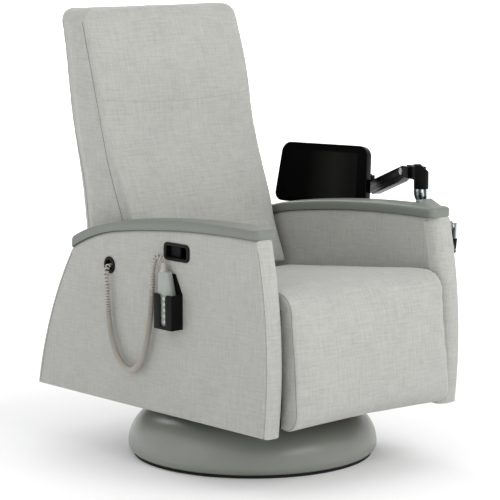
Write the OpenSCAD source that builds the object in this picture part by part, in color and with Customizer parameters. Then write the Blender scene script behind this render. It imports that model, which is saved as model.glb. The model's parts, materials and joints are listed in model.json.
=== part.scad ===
// Powered patient recliner on a swivel base, with a corded handset in a side
// pocket and a small monitor parked beside the far arm.
// Millimetres. +Z up, the chair faces -Y, the origin is on the floor at the
// swivel axis. The sitter's right arm is at -X.

/* [Overall] */
// Width over the two side panels
chair_w = 680; // [640:5:820]
// Thickness of one side panel
panel_t = 66; // [58:1:80]
// Height of the chair's underside above the base dome
base_gap = 26; // [22:1:40]
// Height of the arm's crown above the chair's underside
arm_rise = 493; // [470:1:520]
// Height of the backrest's top above the chair's underside
back_rise = 1020; // [840:5:1230]

/* [Swivel base] */
// Radius of the base at its widest
base_r = 334; // [270:2:402]
// Height of the base dome
base_h = 126; // [105:1:152]
// Wall of the dome shell
dome_wall = 4; // [3:0.5:6]
// Radius of the swivel hub
hub_r = 48; // [40:1:58]
// Radius of the bearing balls
ball_r = 5; // [4:0.5:6]
// Number of bearing balls
ball_n = 18; // [12:1:20]

/* [Arm caps] */
// Thickness of a moulded arm cap
cap_t = 25; // [20:1:32]
// How far a cap stands out past its panel on each side
cap_lip = 5; // [2:1:9]
// Radius of the arm's long arch
arch_r = 3300; // [2600:50:4200]
// Radius of the arch where it drops to the rear
tail_r = 600; // [520:10:760]

/* [Seat and legrest] */
// Thickness of the seat cushion
seat_t = 100; // [84:1:120]
// Radius of the rolled front edge
nose_r = 60; // [50:1:66]
// Depth of the seat from its front hinge to the backrest
seat_d = 543; // [500:1:560]
// Gap between the cushions and the side panels
side_gap = 14; // [12:1:18]
// Thickness of the legrest pad at its fullest
legrest_t = 73; // [60:1:86]
// Height of the legrest's lower edge above the chair's underside
legrest_rise = 4; // [2:1:20]

/* [Backrest] */
// Lean of the backrest's rear face from upright, in degrees
rear_lean = 8.2; // [5:0.1:10]
// Lean of the upper front face from upright, in degrees
head_lean = 16; // [12:0.5:20]
// Thickness of the rigid rear shell
shell_t = 12; // [9:1:16]
// Radius of the recline hinge pins
hinge_pin_r = 8; // [6:0.5:10]

/* [Handset and pocket] */
// Width of the handset
handset_w = 52; // [44:1:53]
// Thickness of the handset
handset_t = 25; // [20:1:27]
// Length of the handset's case
handset_l = 142; // [120:1:170]
// Outer width of the pocket
pocket_w = 70; // [68:1:80]
// Wall of the pocket
pocket_wall = 3; // [2:0.5:4]
// Height of the pocket's front
pocket_h = 90; // [75:1:100]
// Outer radius of the curly cord
cord_r = 9; // [8:0.5:10]
// Radius of the cord's grommet
grommet_r = 22.5; // [20:0.5:27]

/* [Recline release] */
// Length of the recessed plate
plate_l = 100; // [84:1:120]
// Height of the recessed plate
plate_h = 46; // [38:1:54]

/* [Monitor arm] */
// Distance of the arm's post from the panel's outer face
post_out = 50; // [42:1:60]
// Radius of the arm's swivel body
post_r = 20; // [16:0.5:24]
// Length of the fixed-length fork from the post to the lift pin
fork_l = 85; // [78:1:100]
// Length of the lifting beam between its pins
beam_l = 267; // [223:1:320]
// Length of the link behind the monitor
link_l = 118; // [106:1:130]
// Width of the monitor
screen_w = 285; // [238:1:320]
// Height of the monitor
screen_h = 168; // [140:1:176]
// Thickness of the monitor
screen_t = 26; // [20:1:32]

/* [Hidden] */
$fn = 64;
run_clear = 0.1;
part_clear = 0.4;

skirt_z = base_h + base_gap;
half_w = chair_w / 2;
half_in = half_w - panel_t;
pad_half = half_in - side_gap;

// Side profile of a panel: three long arcs over a flat underside
front_r = 1335;
front_y = -434;
front_z = skirt_z + 174;
rear_r = 1024;
rear_foot_y = 508;
rear_z = skirt_z - 180;
rear_y = rear_foot_y - sqrt(rear_r * rear_r - (skirt_z - rear_z) * (skirt_z - rear_z));
arm_z = skirt_z + arm_rise;
arch_y = -320;
arch_z = arm_z - arch_r;
tail_from_y = 165;
tail_lean = asin((tail_from_y - arch_y) / arch_r);
tail_kink = 1.5;
tail_y = tail_from_y - tail_r * sin(tail_lean + tail_kink);
tail_z = arch_z + arch_r * cos(tail_lean) - tail_r * cos(tail_lean + tail_kink);
cap_front_y = -402;
cap_rear_y = 352;

// Knee hinge between seat and legrest, recline hinge between seat and back
knee_y = -393;
knee_z = skirt_z + 304;
seat_rear_y = knee_y + seat_d;
recline_y = seat_rear_y + 100;
recline_z = skirt_z + 253;
seat_slope = 5.9;

// Backrest profile
back_low_z = skirt_z + 318;
back_top_z = skirt_z + back_rise;
lumbar_y = seat_rear_y + 57;
lumbar_z = skirt_z + 498;
shoulder_y = seat_rear_y + 112;
shoulder_z = skirt_z + 630;
rear_low_y = seat_rear_y + 233;

// Side face of the near panel
face_x = -half_w;
grommet_y = 181;
grommet_z = skirt_z + 366;
plate_y = -94;
plate_z = skirt_z + 430;
pocket_y = -81;
pocket_z = skirt_z + 234;
pocket_d = handset_t + 2 * pocket_wall + 7;
handset_lean = 2.5;
handset_foot_y = pocket_y + 1.5;
handset_taper = 16;
neck_y = 12;
handset_foot_z = pocket_z + pocket_wall + 1.7;
handset_x = face_x - pocket_wall - 3;
neck_l = 22;
neck_r = 9;
button_y = -2;
button_n = 5;
button_pitch = 15;
button_travel = 1.5;

// Monitor arm stations
post_x = half_w + post_out;
post_y = -243;
socket_z = skirt_z + 513;
socket_h = 34;
post_top_z = skirt_z + 612;
arm_turn = 21;
lift_z = skirt_z + 585;
beam_drop = 17;
link_turn = 17;
screen_back = 11;
function ahead(from, turn, d) = [from[0] + d * sin(turn), from[1] + d * cos(turn)];
post_xy = [post_x, post_y];
lift_xy = ahead(post_xy, arm_turn, fork_l);
tip_xy = ahead(lift_xy, arm_turn, beam_l * cos(beam_drop));
tip_z = lift_z - beam_l * sin(beam_drop);
head_z = tip_z + 26;
tilt_xy = ahead(tip_xy, -link_turn, link_l);
screen_off = 56;
screen_rise = 85 - screen_h / 2;

// ---- shared shapes ----

// Box between two corners
module block(a, b) {
  translate(a) cube(b - a);
}

// Extrude a side profile, drawn as (Y, Z), from x0 to x1
module along_x(x0, x1) {
  translate([x0, 0, 0])
    rotate([90, 0, 90])
      linear_extrude(height = x1 - x0)
        children();
}

// Round bar along X
module bar_x(x0, x1, y, z, r) {
  translate([x0, y, z])
    rotate([0, 90, 0])
      cylinder(h = x1 - x0, r = r);
}

// Round bar along Y
module bar_y(y0, y1, x, z, r) {
  translate([x, y1, z])
    rotate([90, 0, 0])
      cylinder(h = y1 - y0, r = r);
}

// Rounded rectangle centred on the origin
module round_rect(w, h, r) {
  union() {
    square([w - 2 * r, h], center = true);
    square([w, h - 2 * r], center = true);
    for (sx = [-1, 1], sy = [-1, 1])
      translate([sx * (w / 2 - r), sy * (h / 2 - r)])
        circle(r = r, $fn = 32);
  }
}

// Hollow square tube along X or Y
module tube_bar(a, b, wall, axis) {
  difference() {
    block(a, b);
    if (axis == "x")
      block([a[0] - 1, a[1] + wall, a[2] + wall], [b[0] + 1, b[1] - wall, b[2] - wall]);
    else
      block([a[0] + wall, a[1] - 1, a[2] + wall], [b[0] - wall, b[1] + 1, b[2] - wall]);
  }
}

// Plan frame at a point, with local +Y along a heading turned out from +Y
module at_turn(xy, z, turn) {
  translate([xy[0], xy[1], z])
    rotate([0, 0, -turn])
      children();
}

// ---- swivel base ----

plate_t = 8;
floor_plate_r = base_r - 34;
post_foot_r = 92;
post_outer_r = 46;
post_z = base_h - 36;
race_r = 36;
race_half = 9;

module floor_plate() {
  color([0.35, 0.36, 0.36])
    cylinder(h = plate_t, r = floor_plate_r);
}

module glide_ring() {
  color([0.12, 0.12, 0.12])
    difference() {
      cylinder(h = plate_t - 2, r = base_r - 14);
      translate([0, 0, -1])
        cylinder(h = plate_t, r = floor_plate_r + part_clear);
    }
}

// Section of the dome: a broad shoulder arc above the widest line, a small arc below it
rim_z = 28;
rim_low_r = 22;
module dome_face(inset) {
  shoulder = base_h - rim_z;
  union() {
    intersection() {
      translate([base_r - shoulder, rim_z])
        circle(r = shoulder - inset, $fn = 96);
      translate([0, rim_z])
        square([base_r + 1, base_h]);
    }
    intersection() {
      translate([base_r - rim_low_r, rim_z])
        circle(r = rim_low_r - inset, $fn = 64);
      square([base_r + 1, rim_z]);
    }
    translate([0, rim_z - rim_low_r + inset])
      square([base_r - rim_low_r, rim_low_r - inset]);
    translate([0, rim_z - 0.01])
      square([base_r - shoulder, shoulder - inset + 0.01]);
  }
}

module base_dome() {
  color([0.52, 0.54, 0.5])
    rotate_extrude($fn = 96)
      difference() {
        dome_face(0);
        dome_face(dome_wall);
        translate([-1, -1])
          square([hub_r + 13, base_h + 20]);
        square([base_r - rim_low_r - 8, rim_z]);
      }
}

module pedestal() {
  color([0.4, 0.41, 0.41])
    difference() {
      union() {
        translate([0, 0, plate_t])
          cylinder(h = 10, r = post_foot_r);
        translate([0, 0, plate_t])
          cylinder(h = post_z - plate_t, r = post_outer_r);
      }
      translate([0, 0, plate_t - 1])
        cylinder(h = post_z, r = post_outer_r - 26);
      for (i = [0:5])
        rotate([0, 0, 60 * i])
          translate([post_foot_r - 18, 0, plate_t - 1])
            cylinder(h = 14, r = 6);
    }
}

module pedestal_bolts() {
  color("silver")
    for (i = [0:5])
      rotate([0, 0, 60 * i])
        translate([post_foot_r - 18, 0, plate_t])
          union() {
            cylinder(h = 10, r = 5.6);
            translate([0, 0, 10])
              cylinder(h = 7, r = 9, $fn = 6);
          }
}

// Half of the ball race: a ring with a groove in one face
module race(z0, z1, groove_z) {
  color("silver")
    rotate_extrude($fn = 64)
      difference() {
        translate([race_r - race_half, z0])
          square([2 * race_half, z1 - z0]);
        translate([race_r, groove_z])
          circle(r = ball_r + run_clear, $fn = 32);
      }
}

ball_z = post_z + 10;
module lower_race() {
  race(post_z, ball_z - 1, ball_z);
}

module upper_race() {
  race(ball_z + 1, ball_z + 10, ball_z);
}

module bearing_balls() {
  color("silver")
    for (i = [0:ball_n - 1])
      rotate([0, 0, 360 * i / ball_n])
        translate([race_r, 0, ball_z])
          sphere(r = ball_r, $fn = 24);
}

module swivel_hub() {
  color([0.25, 0.26, 0.26])
    translate([0, 0, ball_z + 10])
      cylinder(h = skirt_z - 8 - ball_z - 10, r = hub_r);
}

module swivel_plate() {
  color([0.25, 0.26, 0.26])
    translate([0, 0, skirt_z - 4])
      cube([330, 330, 8], center = true);
}

// ---- chassis ----

rail_x = pad_half - 40;
rail_z0 = skirt_z;
rail_z1 = skirt_z + 40;
rail_front = knee_y + 35;
rail_rear = recline_y + 30;
cross_y = [-80, 60];
motor_z = skirt_z + 90;
motor_x = [-90, 60];

module seat_frame() {
  color([0.2, 0.2, 0.2])
    union() {
      for (s = [-1, 1])
        tube_bar([s * rail_x - 20, rail_front, rail_z0], [s * rail_x + 20, rail_rear, rail_z1], 3, "y");
      for (y = cross_y)
        tube_bar([-rail_x + 19, y, rail_z0], [rail_x - 19, y + 40, rail_z1], 3, "x");
      for (s = [-1, 1], y = [rail_front + 30, seat_rear_y - 90])
        block([s * rail_x - 15, y, rail_z1 - 1], [s * rail_x + 15, y + 30, deck_z(y + 30)]);
      for (i = [0, 1])
        block([motor_x[i] - 12, cross_y[i] + 8, rail_z1 - 1], [motor_x[i] + 12, cross_y[i] + 32, motor_z - 24]);
    }
}

// Fixed steel cheeks that carry the knee pins and the recline pins
cheek_in = half_in - 7;
cheek_out = half_in - 2;
module hinge_plates() {
  color([0.3, 0.3, 0.3])
    for (s = [0, 1])
      mirror([s, 0, 0])
        difference() {
          union() {
            block([rail_x + 20, rail_front + 4, rail_z0 + 4], [cheek_out, rail_front + 60, rail_z0 + 12]);
            block([cheek_in, rail_front + 4, rail_z0 + 4], [cheek_out, rail_front + 60, rail_z1 + 160]);
            along_x(cheek_in, cheek_out)
              polygon([[rail_front + 4, rail_z1 + 150], [rail_front + 60, rail_z1 + 150],
                       [knee_y + 14, knee_z + 10], [knee_y - 14, knee_z + 10], [knee_y - 14, knee_z - 30]]);
            block([rail_x + 20, recline_y - 40, rail_z0 + 4], [cheek_out, recline_y + 20, rail_z0 + 12]);
            block([cheek_in, recline_y - 40, rail_z0 + 4], [cheek_out, recline_y + 20, recline_z + 22]);
          }
          bar_x(cheek_in - 1, cheek_out + 1, knee_y, knee_z, 5);
          bar_x(cheek_in - 1, cheek_out + 1, recline_y, recline_z, hinge_pin_r);
        }
}

module knee_pins() {
  color("silver")
    for (s = [0, 1])
      mirror([s, 0, 0])
        bar_x(pad_half + 2, cheek_out, knee_y, knee_z, 5);
}

module recline_pins() {
  color("silver")
    for (s = [0, 1])
      mirror([s, 0, 0])
        bar_x(pad_half + 1, cheek_out, recline_y, recline_z, hinge_pin_r);
}

// Linear actuator: gear case, guide tube and control end, along Y
module actuator(x, z, y0, y1, way) {
  color([0.15, 0.15, 0.16])
    difference() {
      union() {
        block([x - 24, way > 0 ? y0 : y1 - 60, z - 24], [x + 24, way > 0 ? y0 + 60 : y1, z + 24]);
        bar_y(y0, y1, x, z, 20);
        bar_x(x - 24, x + 60, way > 0 ? y0 + 30 : y1 - 30, z, 18);
      }
      bar_y(way > 0 ? y0 + 70 : y0 - 1, way > 0 ? y1 + 1 : y1 - 70, x, z, 11 + run_clear);
    }
}

// Extending rod with a square clevis block at its outer end
module actuator_rod(x, z, y0, y1, tip0) {
  color("silver")
    union() {
      bar_y(y0, y1, x, z, 11);
      block([x - 12, tip0, z - 12], [x + 12, tip0 + 28, z + 12]);
    }
}

module legrest_motor() {
  actuator(motor_x[0], motor_z, cross_y[0] - 160, cross_y[0] + 60, -1);
}

module legrest_rod() {
  actuator_rod(motor_x[0], motor_z, cross_y[0] - 210, cross_y[0] - 20, cross_y[0] - 236);
}

module recline_motor() {
  actuator(motor_x[1], motor_z, cross_y[1] - 20, cross_y[1] + 170, 1);
}

module recline_rod() {
  actuator_rod(motor_x[1], motor_z, cross_y[1] + 70, cross_y[1] + 222, cross_y[1] + 220);
}

module control_box() {
  color([0.15, 0.15, 0.16])
    block([-96, cross_y[1] - 4, rail_z1], [-10, cross_y[1] + 62, rail_z1 + 36]);
}

// Upholstered board that closes the rear between the side panels
module rear_apron() {
  color([0.7, 0.71, 0.69])
    block([-half_in, seat_rear_y + 274, skirt_z + 6], [half_in, seat_rear_y + 286, skirt_z + 176]);
}

// ---- side panels and arm caps ----

module panel_profile() {
  intersection() {
    translate([front_y + front_r, front_z])
      circle(r = front_r, $fn = 180);
    translate([rear_y, rear_z])
      circle(r = rear_r, $fn = 180);
    arch_area(arch_r, tail_r);
    translate([-600, skirt_z])
      square([1200, arm_rise + 10]);
  }
}

// Everything under the arch: a long front arc that runs into a tighter rear one
module arch_area(front, tail) {
  intersection() {
    translate([arch_y, arch_z])
      circle(r = front, $fn = 180);
    union() {
      translate([-700, skirt_z - 60])
        square([685 + tail_from_y, arm_rise + 200]);
      translate([tail_y, tail_z])
        circle(r = tail, $fn = 180);
    }
  }
}

module side_panel() {
  along_x(half_in, half_w)
    panel_profile();
}

module side_panel_left() {
  color([0.72, 0.73, 0.71])
    difference() {
      side_panel();
      cap_bolt_row(1, 4);
    }
}

module side_panel_right() {
  color([0.72, 0.73, 0.71])
    difference() {
      mirror([1, 0, 0])
        side_panel();
      cap_bolt_row(-1, 4);
      bar_x(face_x - 1, face_x + 22, grommet_y, grommet_z, grommet_r - 3 + part_clear);
      along_x(face_x - 1, face_x + 34)
        translate([plate_y, plate_z])
          round_rect(plate_l - 10 + part_clear, plate_h - 10 + part_clear, 9);
    }
}

// Plan outline of an arm cap, with round corners
module cap_plan() {
  w = panel_t + 2 * cap_lip;
  r = 20;
  l = cap_rear_y - cap_front_y;
  translate([half_in - cap_lip + w / 2, cap_front_y + l / 2])
    round_rect(w, l, r);
}

module arm_cap() {
  intersection() {
    along_x(half_in - cap_lip - 1, half_w + cap_lip + 1)
      difference() {
        intersection() {
          arch_area(arch_r + cap_t, tail_r + cap_t);
          translate([-600, skirt_z + 260])
            square([1200, arm_rise]);
        }
        arch_area(arch_r, tail_r);
      }
    translate([0, 0, skirt_z])
      linear_extrude(height = arm_rise + 100)
        cap_plan();
  }
}

module arm_cap_left() {
  color([0.5, 0.52, 0.49])
    difference() {
      arm_cap();
      cap_bolt_row(1, 4);
    }
}

module arm_cap_right() {
  color([0.5, 0.52, 0.49])
    difference() {
      mirror([1, 0, 0])
        arm_cap();
      cap_bolt_row(-1, 4);
    }
}

// Height of the arm's arch at a distance along the chair
function arc_top(cy, cz, r, y) = cz + sqrt(r * r - (y - cy) * (y - cy));
function arch_top(y) =
  y < tail_from_y ? arc_top(arch_y, arch_z, arch_r, y) : arc_top(tail_y, tail_z, tail_r, y);

// Screws that hold a cap down, three to an arm
cap_bolt_y = [-340, -60, 220];
cap_bolt_grip = 28;
module cap_bolt_row(s, r) {
  for (y = cap_bolt_y)
    translate([s * (half_w - panel_t / 2), y, arch_top(y) - cap_bolt_grip])
      cylinder(h = cap_bolt_grip + 10, r = r);
}

module cap_bolts() {
  color("silver")
    for (s = [-1, 1])
      cap_bolt_row(s, 4);
}

// ---- seat and legrest ----

function seat_top(y) = knee_z + nose_r - (y - knee_y) * tan(seat_slope);
function deck_z(y) = seat_top(y) - seat_t - 14;

module seat_deck() {
  color([0.62, 0.5, 0.36])
    along_x(-pad_half, pad_half)
      polygon([[knee_y + 8, deck_z(knee_y + 8)], [seat_rear_y, deck_z(seat_rear_y)],
               [seat_rear_y, deck_z(seat_rear_y) + 12], [knee_y + 8, deck_z(knee_y + 8) + 12]]);
}

module seat_cushion() {
  color([0.75, 0.76, 0.74])
    along_x(-pad_half, pad_half)
      polygon([[knee_y + 0.5, seat_top(knee_y) - seat_t], [seat_rear_y, seat_top(seat_rear_y) - seat_t],
               [seat_rear_y, seat_top(seat_rear_y)], [knee_y + 0.5, seat_top(knee_y)]]);
}

// Padding that rolls over the knee hinge: a quarter round that folds as the legrest rises
module knee_roll() {
  color([0.75, 0.76, 0.74])
    along_x(-pad_half, pad_half)
      difference() {
        translate([knee_y, knee_z])
          circle(r = nose_r, $fn = 64);
        translate([knee_y, knee_z - nose_r - 1])
          square([nose_r + 2, 2 * nose_r + 2]);
        translate([knee_y - nose_r - 1, knee_z - nose_r - 1])
          square([2 * nose_r + 2, nose_r + 1.5]);
        translate([knee_y, knee_z])
          circle(r = 7, $fn = 32);
      }
}

legrest_low = skirt_z + legrest_rise;
legrest_face = knee_y - nose_r - 18;
module legrest_pad() {
  color([0.75, 0.76, 0.74])
    along_x(-pad_half, pad_half)
      difference() {
        union() {
          polygon([[knee_y - 5, knee_z - 0.5], [knee_y - nose_r, knee_z - 0.5], [knee_y - nose_r - 13, knee_z - 124],
                   [legrest_face, knee_z - 230], [legrest_face, legrest_low + 52], [legrest_face + 52, legrest_low],
                   [legrest_face + legrest_t, legrest_low + 4], [knee_y - 5, knee_z - 60]]);
          translate([legrest_face + 52, legrest_low + 52])
            circle(r = 52, $fn = 64);
        }
        translate([legrest_face + legrest_t, legrest_low - 10])
          square([60, 240]);
        translate([knee_y, knee_z])
          circle(r = 7, $fn = 32);
      }
}

module legrest_frame() {
  color([0.3, 0.3, 0.3])
    union() {
      block([-pad_half, knee_y - 4.6, legrest_low + 44], [pad_half, knee_y + 7, knee_z - 62]);
      for (s = [0, 1])
        mirror([s, 0, 0])
          difference() {
            along_x(pad_half + 1, pad_half + 6) {
              translate([knee_y, knee_z])
                circle(r = 11, $fn = 32);
              polygon([[knee_y - 11, knee_z], [knee_y + 7, knee_z], [knee_y + 7, knee_z - 160],
                       [knee_y - 11, knee_z - 160]]);
            }
            bar_x(pad_half, pad_half + 7, knee_y, knee_z, 5 + run_clear / 2);
          }
      for (s = [0, 1])
        mirror([s, 0, 0])
          block([pad_half - 1, knee_y - 4.6, knee_z - 150], [pad_half + 2, knee_y + 7, knee_z - 80]);
    }
}

// ---- backrest ----

function rear_at(z) = rear_low_y + (z - back_low_z) * tan(rear_lean);

module back_pad() {
  top_front = shoulder_y + (back_top_z - shoulder_z) * tan(head_lean);
  color([0.75, 0.76, 0.74])
    along_x(-pad_half, pad_half)
      polygon([[seat_rear_y - 13, back_low_z], [rear_at(back_low_z) - shell_t, back_low_z],
               [rear_at(back_top_z - 8) - shell_t, back_top_z - 8], [rear_at(back_top_z) - shell_t - 14, back_top_z],
               [top_front + 10, back_top_z], [top_front, back_top_z - 12], [shoulder_y, shoulder_z],
               [lumbar_y, lumbar_z]]);
}

module back_shell() {
  color([0.7, 0.71, 0.69])
    along_x(-pad_half, pad_half)
      polygon([[rear_at(back_low_z) - shell_t + 0.2, back_low_z], [rear_at(back_low_z), back_low_z],
               [rear_at(back_top_z - 10), back_top_z - 10], [rear_at(back_top_z - 10) - shell_t + 0.2, back_top_z - 10]]);
}

module back_frame() {
  color([0.25, 0.25, 0.25])
    union() {
      for (s = [0, 1])
        mirror([s, 0, 0])
          difference() {
            along_x(pad_half + 0.6, pad_half + 5.6) {
              translate([recline_y, recline_z])
                circle(r = 22, $fn = 48);
              polygon([[recline_y - 22, recline_z], [recline_y + 22, recline_z], [recline_y + 60, back_low_z + 120],
                       [recline_y + 20, back_low_z + 120]]);
            }
            bar_x(pad_half, pad_half + 7, recline_y, recline_z, hinge_pin_r + run_clear / 2);
          }
      block([-pad_half - 1, recline_y + 26, back_low_z - 34], [pad_half + 1, recline_y + 46, back_low_z - 4]);
    }
}

// ---- handset, pocket and cord ----

module cord_grommet() {
  color([0.08, 0.08, 0.08])
    translate([face_x, grommet_y, grommet_z])
      rotate([0, 90, 0])
        difference() {
          union() {
            translate([0, 0, -3])
              cylinder(h = 3, r = grommet_r);
            cylinder(h = 20, r = grommet_r - 3);
          }
          translate([0, 0, -4])
            cylinder(h = 26, r = cord_r + 5);
        }
}

module cord_gland() {
  color([0.08, 0.08, 0.08])
    bar_x(face_x + 8, face_x + 20, grommet_y, grommet_z, cord_r + 5 - 0.05);
}

// Route of the curly cord's centre line, from the gland to the handset's neck
neck_top = [
  handset_x - handset_t / 2,
  handset_foot_y + neck_y * cos(handset_lean) + (handset_l + neck_l + part_clear) * sin(handset_lean),
  handset_foot_z - neck_y * sin(handset_lean) + (handset_l + neck_l + part_clear) * cos(handset_lean)
];
cord_x = face_x - 18;
CORD_ROUTE = [
  [face_x + 8, 181, 518], [face_x, 181, 518], [face_x - 7, 180, 515], [face_x - 14, 177, 507],
  [cord_x, 174, 494], [cord_x, 172, 468], [cord_x, 171, 435], [cord_x, 168, 397], [cord_x, 162, 360],
  [cord_x, 151, 323], [cord_x, 132, 287], [cord_x, 104, 263], [cord_x, 72, 256], [cord_x, 44, 271],
  [cord_x, 22, 305], [cord_x, 7, 348], [cord_x, -3, 390], [cord_x, -9, 430], [cord_x, -13, 470],
  [cord_x, -16, 503], [cord_x, -18, 528], [cord_x, -21, 546], [cord_x, -28, 560],
  [cord_x, -39, 567], [cord_x, -51, 565]
];
cord_path = concat(
  [for (p = CORD_ROUTE) [p[0], p[1], p[2] - 518 + grommet_z]],
  [neck_top]
);

function unit(v) = v / norm(v);
function heading(path, i) =
  let (last = len(path) - 1)
    i == 0 ? [-1, 0, 0] :
    i == last ? [0, -sin(handset_lean), -cos(handset_lean)] :
    unit(path[i + 1] - path[i - 1]);

// Round tube swept along a path that stays near one upright plane
module swept_tube(path, r, sides) {
  n = len(path);
  rings = [
    for (i = [0:n - 1])
      let (t = heading(path, i))
      let (b = abs(t[0]) > 0.9 ? [0, 1, 0] : unit([1, 0, 0] - t[0] * t))
      let (c = cross(t, b))
        for (k = [0:sides - 1])
          path[i] + r * (cos(360 * k / sides) * b + sin(360 * k / sides) * c)
  ];
  caps = [[for (k = [sides - 1:-1:0]) k], [for (k = [0:sides - 1]) (n - 1) * sides + k]];
  walls = [
    for (i = [0:n - 2], k = [0:sides - 1])
      let (a = i * sides + k, b = i * sides + (k + 1) % sides)
        [a, b, b + sides, a + sides]
  ];
  polyhedron(points = rings, faces = concat(caps, walls), convexity = 8);
}

module handset_cord() {
  color([0.7, 0.67, 0.6])
    swept_tube(cord_path, cord_r, 12);
}

// Slot of the pocket, as (Y, Z): straight sides that flare into round top corners
module pocket_slot(half, flare) {
  translate([-half, 8])
    square([2 * half, pocket_h]);
  difference() {
    translate([-half - flare, pocket_h - flare])
      square([2 * (half + flare), flare + 1]);
    for (s = [-1, 1])
      translate([s * (half + flare), pocket_h - flare])
        circle(r = flare, $fn = 32);
  }
}

// Open pocket with a slot down its front
module handset_pocket() {
  w = pocket_w / 2;
  inner = w - pocket_wall;
  slot = 10.5;
  color([0.07, 0.07, 0.07])
    translate([face_x, pocket_y, pocket_z])
      difference() {
        union() {
          block([-pocket_d, -w, 0], [0, w, pocket_h]);
          along_x(-pocket_wall, 0)
            polygon([[-w, pocket_h - 1], [w, pocket_h - 1], [8, pocket_h + 50], [-8, pocket_h + 50]]);
        }
        block([-pocket_d + pocket_wall, -inner, pocket_wall], [-pocket_wall, inner, pocket_h + 1]);
        along_x(-pocket_d - 1, -pocket_d + pocket_wall + 1)
          pocket_slot(slot, 9);
        for (z = [22, pocket_h - 22])
          bar_x(-pocket_wall - 1, 1, 0, z, 2.2);
      }
}

module pocket_screws() {
  color("silver")
    for (z = [22, pocket_h - 22])
      bar_x(face_x - pocket_wall, face_x, pocket_y, pocket_z + z, 2.15);
}

// Local frame of the handset: origin at the foot's middle, +Z along its length
module in_handset() {
  translate([handset_x - handset_t / 2, handset_foot_y, handset_foot_z])
    rotate([-handset_lean, 0, 0])
      children();
}

// Outline of the handset, as (Y, Z): straight rear edge, front edge drawn in towards the top
module handset_outline(r) {
  side = handset_w / 2;
  polygon([[-side, r], [r - side, 0], [side - r, 0], [side, r], [side, handset_l - r],
           [side - r, handset_l], [handset_taper - side + r, handset_l],
           [handset_taper - side, handset_l - r], [-side, 0.6 * handset_l]]);
}

module handset() {
  color([0.72, 0.75, 0.73])
    in_handset()
      difference() {
        along_x(-handset_t / 2, handset_t / 2)
          handset_outline(6);
        for (i = [0:button_n - 1])
          bar_x(-handset_t / 2 - 1, -handset_t / 2 + 4, button_y, 14 + i * button_pitch, 5 + run_clear);
      }
}

module handset_neck() {
  color([0.7, 0.67, 0.6])
    in_handset()
      translate([0, neck_y, handset_l])
        cylinder(h = neck_l, r = neck_r);
}

module button(i) {
  color([0.8, 0.83, 0.8])
    in_handset()
      bar_x(-handset_t / 2 - 1, -handset_t / 2 + 4 - button_travel - 0.2, button_y, 14 + i * button_pitch, 5);
}

module button_1() { button(0); }
module button_2() { button(1); }
module button_3() { button(2); }
module button_4() { button(3); }
module button_5() { button(4); }

// ---- recline release ----

module release_housing() {
  color([0.06, 0.06, 0.06])
    translate([0, plate_y, plate_z])
      difference() {
        union() {
          along_x(face_x - 3, face_x)
            round_rect(plate_l, plate_h, 14);
          along_x(face_x - 0.5, face_x + 32)
            round_rect(plate_l - 10, plate_h - 10, 9);
        }
        along_x(face_x - 4, face_x + 29)
          round_rect(plate_l - 20, plate_h - 16, 6);
        bar_pin(4 + run_clear / 2, plate_h / 2 - 5.5);
      }
}

// Upright pin at the paddle's rear edge
paddle_pin_y = plate_l / 2 - 18;
module bar_pin(r, half) {
  translate([face_x + 12, paddle_pin_y, -half])
    cylinder(h = 2 * half, r = r);
}

module release_paddle() {
  half = plate_h / 2 - 9;
  paddle_l = 36;
  color([0.1, 0.1, 0.1])
    translate([0, plate_y, plate_z])
      union() {
        bar_pin(4, plate_h / 2 - 6);
        block([face_x + 8, paddle_pin_y - paddle_l, -half], [face_x + 16, paddle_pin_y, half]);
      }
}

// ---- monitor arm ----

clamp_z = arm_z - 32;
module monitor_bracket() {
  color([0.5, 0.52, 0.49])
    difference() {
      union() {
        along_x(half_w, half_w + 8)
          polygon([[post_y - 155, arm_z - 85], [post_y - 155, arm_z - 14], [post_y + 40, arm_z - 14],
                   [post_y + 40, arm_z - 100]]);
        along_x(half_w + 7, post_x + 12)
          polygon([[post_y - 20, arm_z - 80], [post_y - 84, arm_z - 45], [post_y - 78, arm_z + 6],
                   [post_y - 26, socket_z + 9], [post_y - 19, socket_z - 1], [post_y + 12, socket_z - 12],
                   [post_y + 20, arm_z - 80]]);
        translate([post_x, post_y, arm_z - 40])
          cylinder(h = socket_z - arm_z + 40, r = 14);
        bar_x(half_w + 7, half_w + 22, post_y - 130, clamp_z, 12);
      }
      translate([post_x, post_y, socket_z - spindle_l - 2])
        cylinder(h = 60, r = 7 + run_clear / 2);
      bar_x(half_w - 1, half_w + 23, post_y - 130, clamp_z, 5 + run_clear / 2);
      for (z = [arm_z - 80, arm_z - 36])
        bar_x(half_w - 1, half_w + 9, post_y + 30, z, 3.2);
      bar_x(half_w - 1, half_w + 9, post_y - 85, arm_z - 62, 3.2);
    }
}

module bracket_screws() {
  color("silver")
    union() {
      for (z = [arm_z - 80, arm_z - 36])
        bar_x(half_w, half_w + 8, post_y + 30, z, 3.15);
      bar_x(half_w, half_w + 8, post_y - 85, arm_z - 62, 3.15);
    }
}

// Chrome cup under the swivel body
module post_socket() {
  color("silver")
    translate([post_x, post_y, socket_z])
      rotate_extrude($fn = 64)
        difference() {
          polygon([[0, 0], [12, 0], [16, 6], [post_r - 1, 18], [post_r, socket_h], [0, socket_h]]);
          square([7 + run_clear / 2, socket_h + 1]);
        }
}

module clamp_lever() {
  y = post_y - 130;
  z = clamp_z;
  color("silver")
    union() {
      bar_x(half_w + 1, half_w + 46, y, z, 5);
      bar_x(half_w + 23, half_w + 32, y, z, 11);
      along_x(half_w + 38, half_w + 48)
        polygon([[y - 7, z + 7], [y + 7, z + 7], [y + 5, z - 66], [y, z - 74], [y - 5, z - 66]]);
    }
}

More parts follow.
